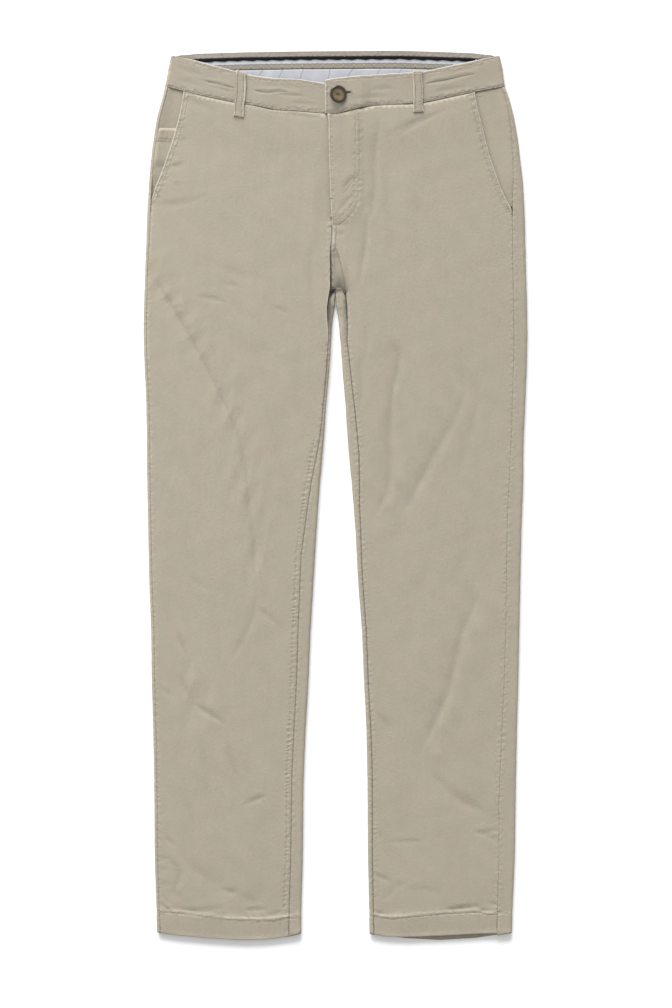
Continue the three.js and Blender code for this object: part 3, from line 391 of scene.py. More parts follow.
def close_seams(skin, reach=SEAM_CLOSE):
    """Moves the cut edge outward, so that the cloths of a seam meet."""
    skin.normal_update()
    pushes = {}
    for edge in skin.edges:
        if edge.is_boundary:
            loop = edge.link_loops[0]
            run = loop.link_loop_next.vert.co - loop.vert.co
            outward = run.cross(loop.face.normal).normalized()
            for vert in edge.verts:
                pushes[vert] = pushes.get(vert, Vector()) + outward
    for vert, push in pushes.items():
        vert.co += push.normalized() * reach


def edge_distance(skin, most=FAR):
    """Distance of each vertex to the skin's own cut edge."""
    rim = [vert.co for vert in skin.verts if vert.is_boundary]
    tree = KDTree(len(rim))
    for i, place in enumerate(rim):
        tree.insert(place, i)
    tree.balance()
    return np.array([min(most, tree.find(vert.co)[2]) for vert in skin.verts])


def cloth_piece(node, skin, finish, thick=TWILL_THICK, facts=()):
    """Makes the skin an object with its thickness and its attributes, in place of its solid."""
    name = f"{node}_cloth"
    mesh = bpy.data.meshes.new(name)
    skin.to_mesh(mesh)
    skin.free()
    plain = {"seam": FAR, "worn": FAR, "stitch": FAR, "deep": 1.0, "hollow": 0.0, "line": FAR}
    for label, usual in plain.items():
        values = dict(facts).get(label, np.full(len(mesh.vertices), usual))
        field = mesh.attributes.new(label, "FLOAT", "POINT")
        field.data.foreach_set("value", np.asarray(values, np.float32))
    mesh.materials.append(finish)
    mesh.shade_smooth()
    piece = bpy.data.objects.new(name, mesh)
    bpy.context.scene.collection.objects.link(piece)
    wall = piece.modifiers.new("cloth thickness", "SOLIDIFY")
    wall.thickness = thick
    wall.offset = -1
    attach(piece, "root")
    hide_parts(node)
    return piece


class Wire:
    """A socket that can be used in a sum."""

    def __init__(self, finish, socket):
        self.finish = finish
        self.socket = socket

    def maths(self, operation, *values):
        return self.finish.node("ShaderNodeMath", {"operation": operation}, dict(enumerate(values)))

    def __add__(self, other):
        return self.maths("ADD", self, other)

    def __sub__(self, other):
        return self.maths("SUBTRACT", self, other)

    def __rsub__(self, other):
        return self.maths("SUBTRACT", other, self)

    def __mul__(self, other):
        return self.maths("MULTIPLY", self, other)

    def __abs__(self):
        return self.maths("ABSOLUTE", self)

    def sine(self):
        return self.maths("SINE", self)

    def within(self, near, far):
        """1 up to near, falling to 0 at far."""
        return self.finish.node(
            "ShaderNodeMapRange",
            {"interpolation_type": "SMOOTHSTEP"},
            {"Value": self, "From Min": near, "From Max": far, "To Min": 1.0, "To Max": 0.0},
        )

    __radd__ = __add__
    __rmul__ = __mul__


class Finish:
    """A material and the few node kinds it is made with."""

    def __init__(self, name, roughness=0.9):
        self.material = bpy.data.materials.new(name)
        self.material.use_nodes = True
        self.tree = self.material.node_tree
        self.shader = self.tree.nodes["Principled BSDF"]
        self.shader.inputs["Roughness"].default_value = roughness
        self.place = self.node("ShaderNodeTexCoord", output="Object")

    def node(self, kind, settings=(), inputs=(), output=0):
        made = self.tree.nodes.new(kind)
        for key, value in dict(settings).items():
            setattr(made, key, value)
        for key, value in dict(inputs).items():
            if isinstance(value, Wire):
                self.tree.links.new(value.socket, made.inputs[key])
            else:
                made.inputs[key].default_value = value
        return Wire(self, made.outputs[output])

    def noise(self, size, detail=2.0, stretch=(1, 1, 1)):
        """Noise from about -1 to 1, with lumps of the given size in metres."""
        place = self.node(
            "ShaderNodeMapping", {}, {"Vector": self.place, "Scale": Vector(stretch) / size}
        )
        made = self.node("ShaderNodeTexNoise", {}, {"Vector": place, "Scale": 1.0, "Detail": detail})
        return (made - 0.5) * 3.0

    def axis(self, name):
        return self.node("ShaderNodeSeparateXYZ", {}, {0: self.place}, name)

    def upward(self):
        """1 where the cloth faces up or down, 0 where it stands on edge."""
        facing = self.node("ShaderNodeNewGeometry", output="Normal")
        return abs(self.node("ShaderNodeSeparateXYZ", {}, {0: facing}, "Z"))

    def fact(self, label):
        return self.node("ShaderNodeAttribute", {"attribute_name": label}, output="Fac")

    def tint(self, colour, amount):
        """The colour made lighter or darker by a varying amount."""
        return self.node(
            "ShaderNodeVectorMath",
            {"operation": "SCALE"},
            {0: colour if isinstance(colour, Wire) else Vector(colour), "Scale": amount},
        )

    def blend(self, share, colour, other):
        paint = [c if isinstance(c, Wire) else (*c, 1.0) for c in (colour, other)]
        return self.node(
            "ShaderNodeMix",
            {"data_type": "RGBA"},
            {"Factor": share, 6: paint[0], 7: paint[1]},
            2,
        )

    def use(self, colour, height=None, depth=0.1 * MM):
        self.tree.links.new(colour.socket, self.shader.inputs["Base Color"])
        if height is not None:
            bump = self.node(
                "ShaderNodeBump", {}, {"Height": height, "Distance": depth, "Strength": 1.0}, "Normal"
            )
            self.tree.links.new(bump.socket, self.shader.inputs["Normal"])
        return self.material


TWILL = (0.320, 0.285, 0.224)
TWILL_WARM = (1.010, 0.996, 0.988)
TWILL_COOL = (0.992, 1.003, 1.004)
TWILL_PALE = (0.50, 0.462, 0.40)
WALE = 0.95 * MM           # from one diagonal rib of the twill to the next


def twill_finish(name, colour, slant=1.0):
    """Garment-dyed twill: ribs on the slant, soft blotches of dye, pale worn folds, puckers, and painted shade in
    stitch grooves, creases, hollows, along marked lines and on edges that stand on end.
    """
    finish = Finish(name)
    x, y = finish.axis("X"), finish.axis("Y")
    ribs = ((x * 1.25 - y * slant) * (2 * math.pi / WALE)).sine()
    blotch = finish.noise(70 * MM, 3.0)
    warmth = finish.noise(38 * MM, 2.0)
    streak = finish.noise(13 * MM, 3.0, (1.0, 0.3, 1.0))
    grain = finish.noise(2.6 * MM, 3.0)
    pucker = finish.noise(5.0 * MM, 2.0)
    seam = finish.fact("seam")
    deep = finish.fact("deep")
    stitch = abs(finish.fact("stitch"))
    near_seam = seam.within(1.0 * MM, 8 * MM) + stitch.within(1.0 * MM, 5 * MM)
    tone = 1.0 + blotch * 0.020 + streak * 0.028 + grain * 0.030 + ribs * 0.02
    tone = tone + pucker * near_seam * 0.035
    tone = tone * (1.0 - seam.within(0.15 * MM, 1.5 * MM) * deep * 0.40)
    # painted shade in the stitch grooves
    tone = tone * (1.0 - stitch.within(0.25 * MM, 0.9 * MM) * (0.13 + pucker * 0.07))
    # painted shade down in the creases and in the crotch hollows
    tone = tone * (1.0 - finish.fact("hollow"))
    # painted shade along the marked lines: stitch grooves, crease lines, the rim's top edge, the coin pocket's top
    # edge and the buttonhole slit
    tone = tone * (1.0 - finish.fact("line").within(0.15 * MM, 1.0 * MM) * (0.42 + pucker * 0.16))
    # painted shade on the cloth's sides that stand on edge, up to 30 % darker
    tone = tone * (1.0 - finish.upward().within(0.25, 0.85) * 0.30)
    cast = finish.blend(warmth.within(-0.6, 0.6), TWILL_WARM, TWILL_COOL)
    dyed = finish.node("ShaderNodeVectorMath", {"operation": "MULTIPLY"}, {0: cast, 1: Vector(colour)})
    shade = finish.tint(dyed, tone)
    worn = finish.fact("worn")
    pale = worn.within(0.25 * MM, 1.7 * MM) * (0.55 + finish.noise(5 * MM, 2.0) * 0.22)
    shade = finish.blend(pale, shade, TWILL_PALE)
    height = ribs * 0.10 + grain * 0.22 + pucker * near_seam * 1.2 + streak * 0.5
    finish.shader.inputs["Sheen Weight"].default_value = 0.12
    finish.shader.inputs["Sheen Roughness"].default_value = 0.5
    finish.shader.inputs["Specular IOR Level"].default_value = 0.25
    return finish.use(shade, height, 0.3 * MM)


leg_twill = twill_finish("washed twill", TWILL)

Front = namedtuple("Front", "node creases folded pale sewn marks puckers hollows cut_size cut_area")
FLY_SMOOTHING = 30
SIDE_GAP = (230 * MM, 357 * MM)        # where the left pocket's end leaves the side seam open
HEM_DROOP = 0.9 * MM
TONGUE_BOW = 10.0 * MM                 # how far the front's end at the crotch rounds out
CROTCH_MESH = [(2, 345), (2, 235)]     # keeps the mesh fine over the crotch
RIGHT_SEWN = [
    offset_line(RIGHT_POCKET_EDGE, 1.5),
    offset_line(RIGHT_POCKET_EDGE, 6.3),
    offset_line(RIGHT_INSEAM[4:], -7.0),
    RIGHT_HEM_TOP,
]
LEFT_SEWN = [
    offset_line(LEFT_POCKET_EDGE, -1.5),
    offset_line(LEFT_POCKET_EDGE, -6.3),
    J_STITCH,
    J_INNER,
    offset_line(FLY_FOLD[1:], 1.6),
    offset_line(CROTCH_SEAM[:-2], 5.5),
    LEFT_HEM_TOP,
]
FRONTS = [
    Front(
        "right_front",
        RIGHT_FRONT_CREASES,
        [RIGHT_POCKET_EDGE, RIGHT_HEM, RIGHT_CROTCH_ROLL],
        [offset_line(CROTCH_SEAM, -1.8), offset_line(RIGHT_HEM_TOP, 1.6), offset_line(RIGHT_POCKET_EDGE, 4.6)],
        RIGHT_SEWN,
        [],
        [
            Pucker(RIGHT_INSEAM[4:], -6.4, 3.4, 5.8, 0.24),
            Pucker(RIGHT_POCKET_EDGE, 4.5, 5.0, 13.0, 0.20),
            Pucker(RIGHT_HEM_TOP, 4.0, 5.0, 16.0, 0.25),
            Pucker(CROTCH_SEAM, -3.5, 3.5, 8.0, 0.15),
        ],
        # painted shade where this front runs into the crotch: x, y, reach in x, reach in y, share
        [(-4.5, 284, 1.8, 22, 0.30)],
        (0.247, 1.103),
        0.220,
    ),
    Front(
        "left_front",
        LEFT_FRONT_CREASES,
        [LEFT_POCKET_EDGE, FLY_FOLD, LEFT_HEM],
        [offset_line(CROTCH_SEAM, 2.8), offset_line(LEFT_HEM_TOP, 1.6)],
        LEFT_SEWN,
        # painted shade lines: the J stitch groove, under the hem stitching and along a crease
        [J_STITCH[3:], offset_line(LEFT_HEM_TOP, -0.4), [(9, 391), (22, 407), (30, 418)]],
        [
            Pucker(LEFT_INSEAM, 4.0, 3.0, 7.0, 0.12),
            Pucker(LEFT_POCKET_EDGE, -5.5, 5.0, 8.0, 0.17),
            Pucker(LEFT_HEM_TOP, 4.0, 5.0, 15.0, 0.25),
            Pucker(J_STITCH, 2.5, 4.5, 10.0, 0.22),
            Pucker(LEFT_OUTSEAM, -4.0, 3.0, 9.0, 0.08),
        ],
        [
            # painted shade over the crotch end of this front: x, y, reach in x, reach in y, share
            (4.5, 277, 7.5, 12, 0.42), (5.5, 270, 9.0, 6.0, 0.50), (-5.5, 285, 2.6, 24, 0.45),
            (12.0, 280, 2.0, 16, 0.30), (-1.5, 300, 3.0, 12, 0.15),
        ],
        (0.243, 1.098),
        0.210,
    ),
]
for node, creases, folded, pale, sewn, painted_shade_lines, puckers, painted_shade_spots, cut_size, cut_area in FRONTS:
    skin = outer_skin(node)
    followed = sewn + folded + [pucker.line for pucker in puckers] + [CROTCH_MESH]
    refine(skin, COARSE, FINE, followed, -1.0, creases)
    close_seams(skin)
    for vert in skin.verts:
        if vert.is_boundary and node == "left_front":
            away = math.dist(vert.co[:2], SIDE_GAP) / (16 * MM)
            vert.co.x += 1.3 * MM * math.exp(-away ** 2)
            x, y = vert.co.x / MM, vert.co.y / MM
            if -10 < x < 15 and (262 if x < 11 else 269) < y < 280:
                bow = min(1, max(0, (x + 8) / 19)) ** 1.4 * min(1, (15 - x) / 4)
                vert.co.y -= TONGUE_BOW * bow
                vert.co.z += 0.9 * MM * bow
    fly_end = [v for v in skin.verts if 6 < v.co.x / MM < 62 and 318 < v.co.y / MM < 372]
    for _ in range(FLY_SMOOTHING):
        bmesh.ops.smooth_vert(skin, verts=fly_end, factor=0.5, use_axis_z=True)
    skin.normal_update()
    points = positions(skin)
    cut = edge_distance(skin)
    fold = np.abs(nearest_line(points, folded))
    stitch = nearest_line(points, sewn)
    side_seam = np.abs(points[:, 0]) > 190 * MM
    deep = np.where(side_seam, 0.20, 1.0)
    crotch = np.exp(-((np.abs(along_line(points, CROTCH_SEAM)[0]) - 3 * MM) / (2 * MM)) ** 2)
    lift, shade = crease_form(points, creases)
    lift *= np.clip(cut / (6 * MM), 0, 1)
    lift += pucker_height(points, puckers) * np.clip(cut / (1.5 * MM), 0.2, 1)
    lift += 0.35 * MM * np.exp(-(fold / (4.0 * MM)) ** 2) + 0.35 * MM * crotch
    lift -= 0.35 * MM * np.exp(-(cut / (2.0 * MM)) ** 2) * (fold > 5 * MM) * deep
    lift -= 0.22 * MM * np.exp(-(stitch / (1.1 * MM)) ** 2)
    for line in (RIGHT_HEM_TOP, LEFT_HEM_TOP):
        signed, _ = along_line(points, line)
        lift += 0.5 * MM * np.exp(-((signed - 2.2 * MM) / (1.8 * MM)) ** 2)
    lift -= HEM_DROOP * np.clip((-546 * MM - points[:, 1]) / (28 * MM), 0, 1) ** 1.6
    for vert, rise in zip(skin.verts, lift):
        vert.co.z += rise * max(0.0, vert.normal.z)
    facts = {
        "seam": np.where(fold > 3 * MM, cut, FAR),
        "worn": np.minimum(fold, np.abs(nearest_line(points, pale)) + 0.35 * MM),
        "stitch": stitch,
        "deep": deep,
        # painted shade: the crotch spots listed for this front and the shade down in its creases
        "hollow": np.clip(painted_shade_share(points, painted_shade_spots) + shade, 0, 0.95),
        # painted shade along the listed lines
        "line": np.abs(nearest_line(points, painted_shade_lines)),
    }
    cloth_piece(node, skin, leg_twill, facts=facts)

# BACK PANELS
# Each back is one piece of the same twill. It lies under the front and wraps round both folded
# edges of the leg, up to the seams, where its turned allowance makes a raised edge.
BACK_CREASES = [
    Crease(-176, 448, -124, 396, -46, 364, 13.0, -0.50),
    Crease(175, 448, 123, 396, 45, 364, 13.0, -0.50),
    Crease(-228, 32, -176, -6, -98, -13, 7.8, -0.60),
    Crease(-215, -32, -157, -46, -72, -32, 7.8, -0.50),
    Crease(227, 32, 175, -6, 97, -17, 7.8, -0.60),
    Crease(220, -39, 162, -52, 77, -39, 7.8, -0.50),
    Crease(-202, 254, -137, 228, -46, 254, 11.7, -0.40),
    Crease(201, 254, 136, 228, 45, 254, 11.7, -0.40),
    Crease(-215, -396, -150, -412, -72, -404, 7.8, -0.40),
    Crease(214, -404, 149, -417, 71, -407, 7.8, -0.40),
]
Back = namedtuple("Back", "node sewn puckers cut_size cut_area")
BACKS = [
    Back(
        "right_back",
        [RIGHT_HEM_TOP],
        [Pucker(RIGHT_INSEAM, 3.0, 3.0, 9.0, 0.10), Pucker(RIGHT_HEM_TOP, 4.0, 4.0, 12.0, 0.2)],
        (0.262, 1.117),
        0.265,
    ),
    Back(
        "left_back",
        [LEFT_HEM_TOP],
        [
            Pucker(LEFT_INSEAM, -4.0, 3.6, 5.4, 0.30),
            Pucker(LEFT_OUTSEAM, 4.5, 3.0, 8.0, 0.10),
            Pucker(LEFT_HEM_TOP, 4.0, 4.0, 12.0, 0.2),
        ],
        (0.278, 1.117),
        0.274,
    ),
]
# Painted shade in the crotch below the fronts' ends: x, y, reach in x, reach in y, share.
BACK_PAINTED_SHADE = [
    (-3.0, 265, 6.5, 7.5, 0.97), (-5.0, 258, 3.5, 8.0, 0.80), (8.5, 268, 6.0, 4.0, 0.55),
    (2, 250, 12, 18, 0.18), (5, 271, 9, 2.5, 0.5), (-8.5, 232, 4.5, 24, 0.62), (13.0, 232, 3.2, 28, 0.38),
]
BACK_FINE = 2.4 * MM
UPPER = 3.0 * MM           # the part of a back that wraps to the front lies above this
DOME = (3.6, 253.0, 12.0)  # the rounded end of the back rise below the crotch: x, y and radius
for node, sewn, puckers, cut_size, cut_area in BACKS:
    skin = outer_skin(node, start_highest=False)
    followed = sewn + [pucker.line for pucker in puckers] + [CROTCH_MESH, RIGHT_HEM, LEFT_HEM]
    refine(skin, COARSE, BACK_FINE, followed, UPPER)
    close_seams(skin)
    towards_other = 0.9 * MM if node == "right_back" else -0.9 * MM
    for vert in skin.verts:
        if vert.is_boundary and vert.co.y > 238 * MM and abs(vert.co.x - 0.5 * MM) < 5 * MM:
            vert.co.x += towards_other
    skin.normal_update()
    points = positions(skin)
    cut = edge_distance(skin)
    on_top = points[:, 2] > UPPER
    stitch = nearest_line(points, sewn)
    side_seam = np.abs(points[:, 0]) > 190 * MM
    deep = np.where(side_seam, 0.20, 1.0)
    deep = np.where((np.abs(points[:, 0]) < 6 * MM) & (points[:, 1] > 238 * MM), 0.15, deep)
    under = np.maximum(0, -crease_form(points, BACK_CREASES)[0]) * np.clip(cut / (7 * MM), 0, 1)
    over = pucker_height(points, puckers) * np.clip(cut / (1.5 * MM), 0.2, 1)
    over -= 0.22 * MM * np.exp(-(stitch / (1.1 * MM)) ** 2)
    over += 0.20 * MM * np.exp(-((cut - 2.5 * MM) / (3 * MM)) ** 2)
    over -= 0.25 * MM * np.exp(-(cut / (2.0 * MM)) ** 2) * deep
    from_dome = np.hypot(points[:, 0] - DOME[0] * MM, points[:, 1] - DOME[1] * MM) / MM
    dome = np.clip((DOME[2] - from_dome) / 3.5, 0, 1)
    dome = dome * dome * (3 - 2 * dome)
    over += (1.3 if node == "right_back" else 0.6) * MM * dome
    over += 0.16 * MM * dome * np.sin(np.arctan2(points[:, 1] - DOME[1] * MM, points[:, 0]) * 19)
    for vert, below, above in zip(skin.verts, under, over):
        if vert.normal.z < 0:
            vert.co.z += below * -vert.normal.z
        else:
            vert.co.z += above * vert.normal.z
    # painted shade in the crotch, only on the part that wraps to the top, lighter over the dome
    hollow = np.where(on_top, painted_shade_share(points, BACK_PAINTED_SHADE), 0.0)
    hollow *= 1 - 0.85 * on_top * dome
    facts = {"seam": cut, "stitch": stitch, "deep": deep, "hollow": hollow}
    cloth_piece(node, skin, leg_twill, facts=facts)

# WAISTBAND
# Two straight strips of doubled twill, joined at the centre back and stitched along both edges.
# The left end laps over the right one and carries the buttonhole.
BAND_TWILL = (0.306, 0.272, 0.218)
band_twill = twill_finish("waistband twill", BAND_TWILL, 0.7)
BACK_RIM = [(-213.8, 568.1), (-207.3, 572), (-182.7, 574), (-124.2, 575.9), (-46.1, 577.2), (83.9, 578.1), (174.8, 575.2), (207.5, 572), (213.8, 568.1)]
RIGHT_RIM = [(-213, 573), (-206.1, 571.6), (-168.3, 560.7), (-132, 551.6), (-113.8, 546), (-81.2, 541.6), (-48.8, 540.8), (-15.5, 535.2)]
LEFT_RIM = [(-13.9, 539.1), (-2, 541.6), (34.5, 545.2), (70.9, 547.6), (115, 549.9), (143.7, 556.7), (176.8, 563.4), (207.9, 571.6), (213, 573)]
LEFT_BAND_END = [(-13.7, 539.1), (-13.7, 495.3)]
RIGHT_BAND_SEAM = [(-221, 531), (-197, 524.3), (-165, 517), (-128.6, 509.6), (-110.2, 507), (-81.2, 500.5), (-48.2, 498.7), (-14.5, 495.6)]
LEFT_BAND_SEAM = [(-13, 495.3), (2, 495.4), (16.2, 498.7), (40, 505.1), (71.1, 507.5), (100.2, 507.5), (114.8, 509.6), (144, 516), (180.4, 523.4), (221, 531)]
BACK_RIM_TOP = offset_line(BACK_RIM, -0.4)
Band = namedtuple("Band", "node folded sewn marks puckers creases cut_size cut_area")
BANDS = [
    Band(
        "waistband_right",
        [RIGHT_RIM],
        [offset_line(RIGHT_BAND_SEAM, 3.0), offset_line(RIGHT_RIM, -2.8)],
        [
            # painted shade lines: the stitch groove above the seam, the rim's top edge and two creases
            offset_line(RIGHT_BAND_SEAM, 2.6)[:5], BACK_RIM_TOP, [(-166, 537.2), (-150, 533.6), (-132, 529.2)],
            [(-104, 525.6), (-90, 523.2), (-64, 524.4)],
        ],
        [Pucker(RIGHT_BAND_SEAM, 4.5, 3.5, 11.0, 0.12), Pucker(RIGHT_RIM, -4.5, 3.0, 12.0, 0.10)],
        [
            Fold([(-177, 539.5), (-163, 536), (-152, 534.5), (-138, 530), (-127, 528)], 1.9, -0.75),
            Fold([(-168, 532.5), (-155, 530), (-143, 526), (-129, 523.5)], 2.2, -0.45),
            Fold([(-112, 527.5), (-100, 524.5), (-88, 523.5), (-74, 525), (-58, 524)], 1.9, -0.75),
            Crease(-70, 520.5, -50, 519, -38, 518.5, 2.4, -0.60),
            Crease(-108, 534, -80, 532, -40, 530, 4.0, -0.35),
            Crease(-204, 556, -188, 550, -172, 546, 4.0, -0.50),
            Crease(-60, 510, -45, 509, -26, 507, 3.0, -0.40),
            Crease(-205, 540, -195, 537, -180, 533, 3.5, -0.35),
        ],
        (0.455, 0.043),
        0.0190,
    ),
    Band(
        "waistband_left",
        [LEFT_RIM, LEFT_BAND_END],
        [offset_line(LEFT_BAND_SEAM, 3.0), offset_line(LEFT_RIM, -2.8), [(-10.6, 536), (-10.6, 498)]],
        [
            # painted shade lines: the rim's top edge, the stitch groove above the seam, a crease, and the buttonhole's
            # slit and end
            BACK_RIM_TOP, offset_line(LEFT_BAND_SEAM, 2.6)[5:], [(118, 535), (145, 540), (180, 547.5)],
            [(12.5, 523.2), (19, 523.2)], [(19.6, 524), (19.8, 521.5)],
        ],
        [Pucker(LEFT_BAND_SEAM, 4.5, 3.5, 11.0, 0.12), Pucker(LEFT_RIM, -4.5, 3.0, 12.0, 0.10)],
        [
            Fold([(112, 533), (128, 536.5), (145, 539), (166, 545), (186, 548.5)], 2.2, -0.80),
            Crease(150, 548, 170, 554, 192, 560, 3.4, -0.40),
            Crease(46, 526, 60, 528, 74, 528, 3.4, -0.45),
            Crease(20, 514, 45, 517, 70, 518, 3.4, -0.40),
            Crease(122, 522, 140, 526, 165, 530, 3.0, -0.40),
        ],
        (0.442, 0.043),
        0.0183,
    ),
]
for node, folded, sewn, painted_shade_lines, puckers, creases, cut_size, cut_area in BANDS:
    skin = outer_skin(node)
    refine(skin, 3.4 * MM, 1.5 * MM, sewn + crease_lines(creases), 5 * MM)
    close_seams(skin)
    skin.normal_update()
    points = positions(skin)
    cut = edge_distance(skin)
    on_top = points[:, 2] > 4 * MM
    fold = np.where(on_top, np.abs(nearest_line(points, folded)), FAR)
    stitch = np.where(on_top, nearest_line(points, sewn), FAR)
    lift, shade = crease_form(points, creases)
    lift *= np.clip(cut / (4 * MM), 0, 1)
    lift += pucker_height(points, puckers) * np.clip(cut / (1.5 * MM), 0.2, 1)
    lift -= 0.22 * MM * np.exp(-(stitch / (0.9 * MM)) ** 2)
    lift -= 0.25 * MM * np.exp(-(cut / (1.4 * MM)) ** 2)
    lower_edge = nearest_line(points, [RIGHT_BAND_SEAM, LEFT_BAND_SEAM])
    lift -= 0.8 * MM * np.exp(-(lower_edge / (3.5 * MM)) ** 2) * np.clip((75 * MM - points[:, 0]) / (30 * MM), 0, 1) * (points[:, 0] > -14 * MM)
    for vert, rise in zip(skin.verts, np.where(on_top, lift, 0.3 * np.abs(lift))):
        vert.co.z += rise * abs(vert.normal.z)
    facts = {
        "seam": np.where(fold > 3 * MM, cut, FAR),
        "worn": fold,
        "stitch": stitch,
        # painted shade down in the band's creases
        "hollow": np.where(on_top, shade, 0.0),
        # painted shade along the listed lines on top, and along the rim's edge underneath
        "line": np.abs(np.where(on_top, nearest_line(points, painted_shade_lines), nearest_line(points, [BACK_RIM_TOP]))),
    }
    cloth_piece(node, skin, band_twill, 0.9 * MM, facts)

# INSIDE OF THE BACK WAIST
# Behind the dipped front rim the inside of the band shows: its turned edge, a dark tape with a
# wavy edge on a white one, a beige binding, and the top of a striped shirting curtain.


def flat_piece(node, finish, cell, thick, ripple, sewn=()):
    """A tape or lining: its solid's top face with a little life in it."""
    skin = outer_skin(node)
    refine(skin, cell)
    points = positions(skin)
    cut = edge_distance(skin)
    x, y = points[:, 0] / MM, points[:, 1] / MM
    wave = ripple * np.sin(x / 7 + 1.7 * np.sin(x / 23)) * np.sin(y / 11 + x / 31)
    for vert, rise in zip(skin.verts, wave):
        vert.co.z += rise * MM
    facts = {"seam": cut, "stitch": nearest_line(points, sewn)}
    return cloth_piece(node, skin, finish, thick, facts)


def tape_finish(name, colour, rib, roughness=0.85):
    """Narrow woven tape with ribs across its length."""
    finish = Finish(name, roughness)
    ribs = (finish.axis("X") * (2 * math.pi / rib)).sine()
    dirt = finish.noise(12 * MM, 3.0)
    edge = finish.fact("seam").within(0.1 * MM, 1.3 * MM)
    tone = 1.0 + ribs * 0.07 + dirt * 0.06 - edge * 0.22
    finish.shader.inputs["Specular IOR Level"].default_value = 0.12
    return finish.use(finish.tint(colour, tone), ribs + dirt * 0.6, 0.12 * MM)


def curtain_finish():
    """Pale blue-white shirting with fine dark slanted stripes."""
    finish = Finish("striped shirting", 0.85)
    x, y = finish.axis("X"), finish.axis("Y")
    drift = finish.noise(60 * MM, 1.0) * 0.010
    repeat = finish.node(
        "ShaderNodeMath", {"operation": "PINGPONG"}, {0: x - y * 0.62 + drift + 1.0, 1: 15.5 * MM}
    )
    line = repeat.within(0.25 * MM, 1.0 * MM)
    weave = finish.noise(1.2 * MM, 1.0)
    folds = finish.noise(16 * MM, 2.0, (1.0, 0.3, 1.0))
    shadow = y.within(532 * MM, 552 * MM) * 0.12
    ground = finish.tint((0.375, 0.385, 0.415), 1.0 + weave * 0.03 + folds * 0.10 - shadow)
    shade = finish.blend(line * 0.6, ground, (0.10, 0.105, 0.13))
    return finish.use(shade, folds, 0.5 * MM)


white_tape = tape_finish("white tape", (0.50, 0.495, 0.51), 1.2 * MM)
dark_tape = tape_finish("dark tape", (0.006, 0.007, 0.011), 1.0 * MM)
beige_binding = tape_finish("beige binding", (0.262, 0.238, 0.195), 1.4 * MM)
shirting = curtain_finish()
STRIP_CELL = 3 * MM
inner_twill = twill_finish("inside of the waistband", (0.272, 0.238, 0.206), 0.7)
flat_piece("waist_facing", inner_twill, STRIP_CELL, TWILL_THICK, 0.12)
flat_piece("waist_tape_white", white_tape, STRIP_CELL, 0.4 * MM, 0.10)
flat_piece("waist_tape_dark", dark_tape, STRIP_CELL, 0.4 * MM, 0.08)
flat_piece("waist_binding", beige_binding, STRIP_CELL, TWILL_THICK, 0.10)
flat_piece("waist_curtain", shirting, STRIP_CELL, 0.4 * MM, 0.18)

# POCKET FACINGS, COIN POCKET AND FLY SHIELD
# Twill pieces behind the slanted pocket openings, caught in the side seam and in the waistband,
# so they rise to both. The coin pocket is a patch on the right one, its top edge stitched twice.
# The shield lies hidden under the fly.
RIGHT_SIDE = [(-222, 531), (-229, 500), (-236.3, 470), (-239.6, 440), (-241.2, 410), (-243, 375)]
LEFT_SIDE = [(222, 531), (225.5, 500), (230, 450), (230.5, 420), (233.5, 390), (236, 375)]
COIN_TOP = [(-245, 475.6), (-194, 475.4)]
COIN_ROWS = [[(-238.5, 463.6), (-213.5, 463.2)], [(-239.5, 460.2), (-214.0, 459.8)]]
Behind = namedtuple("Behind", "node side rise reach sink cut_size cut_area sewn")
for piece in (
    Behind("pocket_facing_right", RIGHT_SIDE, 2.9, 2.8, 0, (0.062, 0.155), 0.0062, []),
    Behind("pocket_facing_left", LEFT_SIDE, 1.3, 1.8, 0, (0.070, 0.157), 0.0080, []),
    Behind("coin_pocket", RIGHT_SIDE, 2.9, 2.8, 1.45, (0.036, 0.049), 0.0015, COIN_ROWS),
    Behind("fly_shield", LEFT_SIDE, 0, 0, 0, (0.032, 0.128), 0.0038, []),
):
    skin = outer_skin(piece.node)
    refine(skin, 2.6 * MM)
    close_seams(skin, piece.reach * MM)
    points = positions(skin)
    cut = edge_distance(skin)
    x, y = points[:, 0] / MM, points[:, 1] / MM
    from_side = np.abs(along_line(points, piece.side)[0]) / MM
    under_front = np.clip((y - 385) / 30, 0, 1)
    under_band = np.exp(-((531 - y) / 24) ** 2)
    rise = piece.rise * np.maximum(np.exp(-(from_side / 13) ** 2) * under_front, 0.45 * under_band)
    rise -= piece.sink * np.exp(-((y - 425) / 7) ** 2)
    rise += 0.12 * np.sin(x / 7 + 1.7 * np.sin(x / 23)) * np.sin(y / 11 + x / 31)
    stitch = nearest_line(points, piece.sewn)
    rise -= 0.2 * np.exp(-(stitch / MM) ** 2)
    for vert, up in zip(skin.verts, rise):
        vert.co.z += up * MM
    # painted shade along the coin pocket's top edge and stitch rows; on the coin pocket the edge darkening is kept
    # only on its top edge
    painted_shade_line = np.abs(nearest_line(points, [*piece.sewn, COIN_TOP] if piece.sewn else []))
    plain_edge = FAR if piece.sink else 0.0
    cut = np.maximum(cut, np.where(y > 470, 0.0, plain_edge))
    facts = {"seam": cut, "stitch": stitch, "deep": np.full(len(points), 0.25), "line": painted_shade_line}
    thick = (0.4 if piece.sink else 0.7) * MM
    cloth_piece(piece.node, skin, leg_twill, thick, facts)

